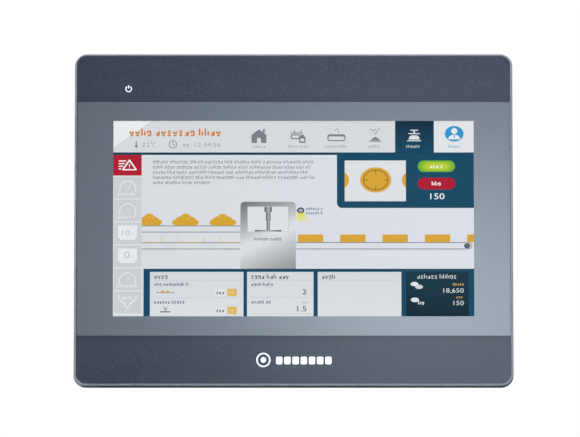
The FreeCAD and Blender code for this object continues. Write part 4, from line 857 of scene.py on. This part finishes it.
def picture_press(s):
    """Bright metal press with its window, ram and caption."""
    rounded_foot = PRESS_TOP + 3.2
    s.washed([s.rounded_outline(PRESS_LEFT, PRESS_TOP, PRESS_RIGHT, rounded_foot, 2.6, (1, 0, 0, 1))],
             press_tone)
    s.washed(s.grid(PRESS_LEFT, rounded_foot, PRESS_RIGHT, PRESS_FOOT, 6, 12), press_tone)
    s.rounded(82.9, 55.1, 108.3, 71.3, 0.4, WINDOW_RIM)
    s.rounded(83.2, 55.3, 108.0, 71.1, 0.3, PANE)
    ram = ((93.4, 98.0, 55.3, 58.5), (94.3, 97.2, 58.5, 64.3), (94.7, 96.8, 64.3, 70.2))
    for x0, x1, y0, y1 in ram:
        centre = (x0 + x1) / 2 + 0.3
        s.faded(x0, y0, centre, y1, RAM_DARK, RAM_DARK, RAM_BRIGHT, RAM_BRIGHT)
        s.faded(centre, y0, x1, y1, RAM_BRIGHT, RAM_BRIGHT, RAM_DARK, RAM_DARK)
    s.faded(87.4, 70.2, 95.7, 71.1, DARK_INK, DARK_INK, RAM_BRIGHT, RAM_BRIGHT)
    s.faded(95.7, 70.2, 103.9, 71.1, RAM_BRIGHT, RAM_BRIGHT, DARK_INK, DARK_INK)
    s.marks(87.0, 104.3, 75.8, 2.1, TEAL_INK, 61, weight=0.17)


# Left end, right end and height of each rule; marks end with the seed of their strokes.
RULES = (
    (25.2, 78.4, 102.4), (25.2, 78.4, 113.6), (84.8, 121.8, 102.4), (84.8, 121.8, 113.2),
    (84.8, 121.8, 123.6), (128.4, 175.4, 102.4))
CARD_TITLES = ((25.5, 34.8, 71), (85.2, 110.2, 78), (128.8, 138.4, 82))
CARD_CAPTIONS = (
    (25.4, 46.6, 104.9, 72), (25.4, 45.4, 116.2, 75), (85.2, 99.8, 104.9, 79),
    (85.2, 97.2, 116.1, 80))


def picture_cards(s):
    """Dark strip with the four setting cards."""
    s.box(18.8, 95.0, RIGHT, LOW, TEAL)
    for left, right in ((22.8, 80.5), (82.7, 123.7), (126.3, 177.9)):
        s.faded(left, 97.0, right, 125.6, CARD, CARD_END, CARD_END, CARD)
    for left, right, y in RULES:
        s.line(left, y, right, y, 0.25, RULE)
    for left, right, seed in CARD_TITLES:
        s.marks(left, right, 100.0, 3.0, DARK_INK, seed, weight=0.17)
    for left, right, y, seed in CARD_CAPTIONS:
        s.marks(left, right, y, 2.3, TEAL_INK, seed, weight=0.18)
    s.line(27.2, 110.4, 37.2, 110.4, 0.35, BELT)
    for x in (27.4, 37.0):
        s.disc(x, 110.2, 0.5, 0.5, GREY_INK, 10)
    for x in (30.6, 33.8):
        s.shape([(x - 1.7, 110.2), (x, 108.7), (x + 1.7, 110.2)], GOLD)
    s.line(29.0, 122.6, 35.4, 122.6, 0.6, DARK_INK)
    s.run([(31.4, 119.4), (32.4, 122.0), (33.4, 119.4)], 0.5, GREY_INK)
    for y in (110.2, 121.7):
        s.rounded(62.9, y - 2.3, 69.2, y + 2.3, 0.3, HEADER_SIDE)
        s.marks(63.7, 68.5, y, 2.4, DARK_INK, 73, weight=0.2)
        s.rounded(70.6, y - 2.4, 76.4, y + 2.4, 0.4, GOLD_LIGHT)
        s.marks(72.0, 75.4, y, 1.8, PANE, 74)
    s.figures(119.3, 111.4, 3.2, "2", DARK_INK, True)
    s.marks(116.0, 120.4, 116.4, 1.6, LABEL_INK, 81)
    s.figures(119.3, 122.2, 3.2, "1.5", DARK_INK, True)
    s.faded(180.7, 96.9, 219.4, 125.6, *COUNTS)
    s.marks(187.6, 212.4, 99.9, 3.0, CARD_END, 83)
    s.disc(186.0, 104.8, 2.4, 1.4, PANE, 20)
    s.disc(188.8, 106.6, 2.4, 1.4, PEBBLE, 20)
    s.disc(186.2, 114.9, 2.5, 1.5, PANE, 20)
    s.marks(188.2, 193.2, 116.6, 3.0, CARD_END, 87, weight=0.2)
    s.marks(209.6, 216.4, 104.8, 2.0, GOLD_LIGHT, 84)
    s.figures(216.4, 110.3, 2.8, "18,650", CARD_END, True)
    s.marks(211.8, 216.4, 113.1, 1.8, GOLD_LIGHT, 85)
    s.figures(216.4, 118.3, 2.8, "150", CARD_END, True)


def screen_picture():
    """The process picture on the display, set for a view from a little below."""
    s = Sheet(
        SCREEN_CENTRE.x - SCREEN_WIDTH / 2 * MM,
        SCREEN_CENTRE.z + (SCREEN_HEIGHT / 2 + SIGHT_SHIFT) * MM, CELL_LOW.y - 0.02 * MM)
    s.faded(LEFT, TOP, RIGHT, LOW, PALE, PALE, PALE_BLUE, PALE_BLUE)
    picture_header(s)
    picture_left_column(s)
    picture_line_of_goods(s)
    picture_camera_panel(s)
    picture_cards(s)
    s.piece("screen_picture", "display", "display")


# ---- print on the front ----

INK = (1.0, 1.0, 1.0)   # prints take their colour from their material, so this paint isn't seen
RING_WIDTH = 0.62
BLOCKS = 7
BLOCK_PITCH = 5.05
BLOCK_WIDTH = 3.9


def front_print():
    """Power ring at the lamp and a plain mark in the lower band, in raised white ink with a faint
    painted glow.
    """
    lamp_low, lamp_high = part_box("power_light_pipe")
    lamp = (lamp_low + lamp_high) / 2
    s = Sheet(lamp.x, lamp.z, FRONT - PRINT_LIFT)
    s.loop(0.0, 0.2, 2.05, 2.1, RING_WIDTH, INK, 122, 418, 28)
    s.line(0.0, -2.1, 0.0, -0.1, RING_WIDTH, INK)
    s.piece("power_ring", "bezel", "ink_white")
    low_band = (BEZEL_LOW.z + FILM_LOW.z) / 2
    s = Sheet(0.0, low_band, FRONT - PRINT_LIFT)
    s.loop(-18.6, -0.4, 4.4, 4.6, 0.9, INK, steps=40)
    s.disc(-18.6, -0.4, 1.7, 1.8, INK, 24)
    for index in range(BLOCKS):
        left = -10.8 + index * BLOCK_PITCH
        s.rounded(left, -2.5, left + BLOCK_WIDTH, 2.4, 0.9, INK)
    s.piece("front_mark", "bezel", "ink_white")


# ---- print and small parts behind ----

def label_print():
    """Frame, ruled table and a hatch of bars on the silver label, without any words."""
    low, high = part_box("rating_label")
    wide, tall = (high.x - low.x) / MM, (high.z - low.z) / MM
    s = Sheet(high.x, high.z, high.y + 0.01 * MM, 1)
    edge = 1.6
    s.frame(edge, edge, wide - edge, tall - edge, 0.4, INK)
    s.rounded(4.0, 4.0, 34.0, 9.0, 0.8, INK)
    s.line(4.0, 12.0, wide - 4.0, 12.0, 0.3, INK)
    table_right = 50.0
    for row in range(4):
        y = 18.5 + row * 6.5
        s.line(4.0, y, table_right, y, 0.2, INK)
        s.marks(5.0, 17.0 + row, y - 3.2, 2.4, INK, 91 + row)
        s.marks(24.0, 40.0 - row * 2, y - 3.2, 2.4, INK, 95 + row)
    s.line(22.0, 12.0, 22.0, 38.0, 0.2, INK)
    s.figures(24.0, 43.4, 3.2, "24", INK)
    s.line(31.4, 40.8, 35.0, 40.8, 0.4, INK)
    for step in range(3):
        s.line(31.4 + step * 1.35, 42.2, 32.3 + step * 1.35, 42.2, 0.4, INK)
    draw = random.Random(12)
    x = 55.0
    while x < wide - 5.0:
        bar = draw.choice((0.25, 0.45, 0.7))
        s.box(x, 16.0, x + bar, 27.0, INK)
        x += bar + draw.choice((0.35, 0.6))
    s.figures(56.0, 30.6, 2.2, "0123456789", INK)
    s.loop(62.0, 38.0, 4.2, 4.2, 0.4, INK)
    s.loop(74.0, 38.0, 4.2, 4.2, 0.4, INK)
    s.loop(74.0, 38.0, 2.4, 2.4, 0.4, INK, steps=20)
    s.run([(59.8, 38.0), (61.4, 39.8), (64.4, 36.2)], 0.6, INK)
    s.piece("label_print", "label", "ink_dark")


def port_marks():
    """Pale signs on the cover above each connector."""
    cover_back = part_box("rear_cover")[1].y
    s = Sheet(0.0, 0.0, cover_back + 0.006 * MM, 1)

    def across(name):
        """Where a piece is along the row, seen from behind."""
        low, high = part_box(name)
        return -(low.x + high.x) / 2 / MM

    row = 75.0
    stroke, thin = 0.45, 0.35
    plus, minus, earth = (across(f"terminal_screw_{number}") for number in (1, 2, 3))
    for x in (plus, minus, earth):
        s.line(x - 1.3, row, x + 1.3, row, stroke, INK)
    s.line(plus, row - 1.3, plus, row - 0.3, stroke, INK)
    s.line(plus, row + 0.3, plus, row + 1.3, stroke, INK)
    s.line(earth, row - 1.8, earth, row - 0.3, stroke, INK)
    s.line(earth - 0.85, row + 0.85, earth + 0.85, row + 0.85, 0.4, INK)
    s.line(earth - 0.4, row + 1.6, earth + 0.4, row + 1.6, 0.4, INK)
    x = across("reset_button")
    s.loop(x, row, 1.6, 1.6, stroke, INK, 120, 420, 20)
    s.shape([(x - 1.6, row - 1.9), (x - 0.1, row - 1.7), (x - 1.1, row - 0.6)], INK)
    for number in range(1, 5):
        s.figures(across(f"dip_slider_{number}") - 0.5, row + 1.2, 1.8, str(number), INK)
    for name, number in (("serial_a_shell", "1"), ("serial_b_shell", "2")):
        x = across(name)
        s.closed([(x - 5.4, row - 1.6), (x + 5.4, row - 1.6), (x + 4.6, row + 1.6),
                  (x - 4.6, row + 1.6)], thin, INK)
        s.figures(x - 0.8, row + 1.0, 2.0, number, INK)
    x = across("usb_shell")
    s.frame(x - 2.6, row - 1.1, x + 2.6, row + 1.1, thin, INK)
    s.box(x - 1.7, row - 0.1, x + 1.7, row + 0.4, INK)
    x = across("lan_shell")
    s.line(x - 3.0, row, x + 3.0, row, thin, INK)
    for dx, dy in ((-2.2, 1.5), (2.2, 1.5), (0.0, -1.5)):
        s.line(x + dx, row, x + dx, row + dy * 0.5, thin, INK)
        s.box(x + dx - 0.9, row + dy - 0.75, x + dx + 0.9, row + dy + 0.75, INK)
    s.piece("port_marks", "cover_plastic", "ink_grey")


def blocks(name, boxes, material):
    """One piece made of small boxes with slightly broken edges."""
    work = bmesh.new()
    for low, high in boxes:
        made = bmesh.ops.create_cube(work, size=1.0)["verts"]
        size = Vector(high) - Vector(low)
        middle = (Vector(high) + Vector(low)) / 2
        bmesh.ops.scale(work, vec=size, verts=made)
        bmesh.ops.translate(work, vec=middle, verts=made)
        edges = list({edge for vert in made for edge in vert.link_edges})
        bmesh.ops.bevel(work, geom=edges, offset=min(size) * 0.25, segments=1, affect="EDGES")
    mesh = bpy.data.meshes.new(name)
    work.to_mesh(mesh)
    work.free()
    add_piece(name, mesh, material)


def port_details():
    """Contact strips on the host port's tongue and the two lamps of the network port."""
    low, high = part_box("usb_tongue")
    middle = (low.x + high.x) / 2
    face = low.y + 2.7 * MM
    half_width, thickness = 0.5 * MM, 0.08 * MM
    strips = []
    for offset in (-3.5, -1.0, 1.0, 3.5):
        x = middle + offset * MM
        strips.append((
            (x - half_width, face, low.z + 0.8 * MM),
            (x + half_width, face + thickness, low.z + 8.5 * MM)))
    blocks("usb_contacts", strips, "gold_contact")
    low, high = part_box("lan_insert")
    lamp_width = 3.3 * MM
    for colour, offset in (("green", 0.6), ("amber", 11.2)):
        x = low.x + offset * MM
        lamp = (
            (x, high.y - 2.3 * MM, low.z - 0.25 * MM),
            (x + lamp_width, high.y - 0.5 * MM, low.z + 0.05 * MM))
        blocks(f"lan_lamp_{colour}", [lamp], f"lamp_{colour}")


# ---- camera, light and stage ----

CAMERA_ELEVATION = -15.8   # degrees
CAMERA_AZIMUTH = 0.0
CAMERA_DISTANCE = 8.954    # metres
AIM_RIGHT = -2.2           # millimetres from the middle of the front
AIM_UP = 0.45
LENS = 900.0
SENSOR_WIDTH = 36.0
SIGHT_END = 60.0           # metres


def make_camera():
    """Long lens that looks up at the middle of the front from a little below."""
    data = bpy.data.cameras.new("camera")
    data.lens = LENS
    data.sensor_width = SENSOR_WIDTH
    data.clip_end = SIGHT_END
    camera = put("camera", data)
    elevation, azimuth = math.radians(CAMERA_ELEVATION), math.radians(CAMERA_AZIMUTH)
    back = Vector((
        math.sin(azimuth) * math.cos(elevation), -math.cos(azimuth) * math.cos(elevation),
        math.sin(elevation)))
    middle = (BEZEL_LOW + BEZEL_HIGH) / 2
    target = Vector((middle.x + AIM_RIGHT * MM, FRONT, middle.z + AIM_UP * MM))
    camera.location = target + back * CAMERA_DISTANCE
    camera.rotation_mode = "QUATERNION"
    camera.rotation_quaternion = (-back).to_track_quat("-Z", "Y")
    bpy.context.scene.camera = camera


def area_light(name, place, towards, size, power, colour):
    """Round soft light that the camera doesn't see."""
    data = bpy.data.lights.new(name, "AREA")
    data.shape = "DISK"
    data.size = size
    data.energy = power
    data.color = colour
    lamp = put(name, data)
    lamp.visible_camera = False
    lamp.location = place
    lamp.rotation_mode = "QUATERNION"
    lamp.rotation_quaternion = (Vector(towards) - Vector(place)).to_track_quat("-Z", "Y")


WORLD_LIGHT = 0.24
LOW_SKY = (0.16, 0.17, 0.19, 1.0)
HIGH_SKY = (0.95, 0.97, 1.0, 1.0)
LOW_SKY_ENDS = 0.45        # 0 is straight down, 1 straight up
HIGH_SKY_STARTS = 0.9


def studio_world():
    """White backdrop for the camera; the light it casts is dim from below and bright from above."""
    world = bpy.data.worlds.new("studio")
    bpy.context.scene.world = world
    world.use_nodes = True
    tree = world.node_tree
    tree.nodes.clear()
    new, link = tree.nodes.new, tree.links.new
    out = new("ShaderNodeOutputWorld")
    mix = new("ShaderNodeMixShader")
    path = new("ShaderNodeLightPath")
    seen = new("ShaderNodeBackground")
    seen.inputs["Color"].default_value = (1.0, 1.0, 1.0, 1.0)
    lit = new("ShaderNodeBackground")
    lit.inputs["Strength"].default_value = WORLD_LIGHT
    where = new("ShaderNodeTexCoord")
    split = new("ShaderNodeSeparateXYZ")
    ramp = new("ShaderNodeValToRGB")
    low, high = ramp.color_ramp.elements
    low.position, low.color = LOW_SKY_ENDS, LOW_SKY
    high.position, high.color = HIGH_SKY_STARTS, HIGH_SKY
    level = new("ShaderNodeMapRange")
    level.inputs["From Min"].default_value = -1.0
    level.inputs["From Max"].default_value = 1.0
    link(where.outputs["Generated"], split.inputs[0])
    link(split.outputs["Z"], level.inputs["Value"])
    link(level.outputs["Result"], ramp.inputs["Fac"])
    link(ramp.outputs["Color"], lit.inputs["Color"])
    link(path.outputs["Is Camera Ray"], mix.inputs[0])
    link(lit.outputs[0], mix.inputs[1])
    link(seen.outputs[0], mix.inputs[2])
    link(mix.outputs[0], out.inputs["Surface"])


FLOOR_GAP = 0.5 * MM
FLOOR_REACH = 20.0         # metres from the middle to each edge
FLOOR_GLOW = 0.75          # lifts the floor towards the backdrop, for the camera only


def pale_floor():
    """Pale floor under the object, seen only from above."""
    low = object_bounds()[0].z - FLOOR_GAP
    far = FLOOR_REACH
    mesh = bpy.data.meshes.new("floor")
    corners = [(-far, -far, low), (far, -far, low), (far, far, low), (-far, far, low)]
    mesh.from_pydata(corners, [], [(0, 1, 2, 3)])
    floor = put("floor", mesh)
    n = Nodes("floor_pale")
    cloud = n.noise(3.0, 2.0)
    shade = n.blend(cloud, (0.86, 0.86, 0.87), (0.9, 0.9, 0.91))
    shader = n.surface(shade, 0.7)
    sight = n.add("ShaderNodeLightPath")
    n.glow(shader, (1.0, 1.0, 1.0), n.maths("MULTIPLY", sight.outputs["Is Camera Ray"], FLOOR_GLOW))
    clear = n.add("ShaderNodeBsdfTransparent")
    side = n.add("ShaderNodeNewGeometry")
    n.either(side.outputs["Backfacing"], shader, clear)
    mesh.materials.append(n.material)


WHITE_LIGHT = (1.0, 1.0, 1.0)
COOL = (0.78, 0.91, 1.0)
PALE_COOL = (0.86, 0.95, 1.0)
FILL_COOL = (0.85, 0.95, 1.0)
PALE_VIOLET = (0.97, 0.95, 1.0)

# Name, place, the point it is aimed at, width (all in metres), power in watts and colour.
LIGHTS = (
    ("key_right", (0.14, -0.42, 0.015), (0.1, 0.0, -0.06), 0.2, 1.0, COOL),
    ("strip_low", (0.06, -0.42, 0.045), (0.03, 0.0, -0.07), 0.13, 0.75, PALE_COOL),
    ("fill_low", (-0.13, -0.27, -0.25), (-0.07, 0.0, -0.1), 0.17, 0.16, FILL_COOL),
    ("edge_left", (-0.9, -0.03, -0.1), (-0.14, 0.0, 0.0), 0.4, 3.2, PALE_VIOLET),
    ("fill_top", (-0.3, -0.9, 1.1), (0.0, 0.0, 0.0), 0.9, 1.5, WHITE_LIGHT),
    ("rear_soft", (-0.8, 1.2, 0.9), (0.0, 0.0, 0.0), 1.0, 34.0, WHITE_LIGHT),
    ("rear_low", (0.5, 0.9, -0.45), (0.0, 0.0, -0.05), 0.6, 14.0, WHITE_LIGHT),
)


def light_the_scene():
    studio_world()
    for row in LIGHTS:
        area_light(*row)


bpy.context.scene.view_settings.view_transform = "Standard"
make_camera()
light_the_scene()
paint_nodes()
screen_picture()
front_print()
label_print()
port_marks()
port_details()
pale_floor()
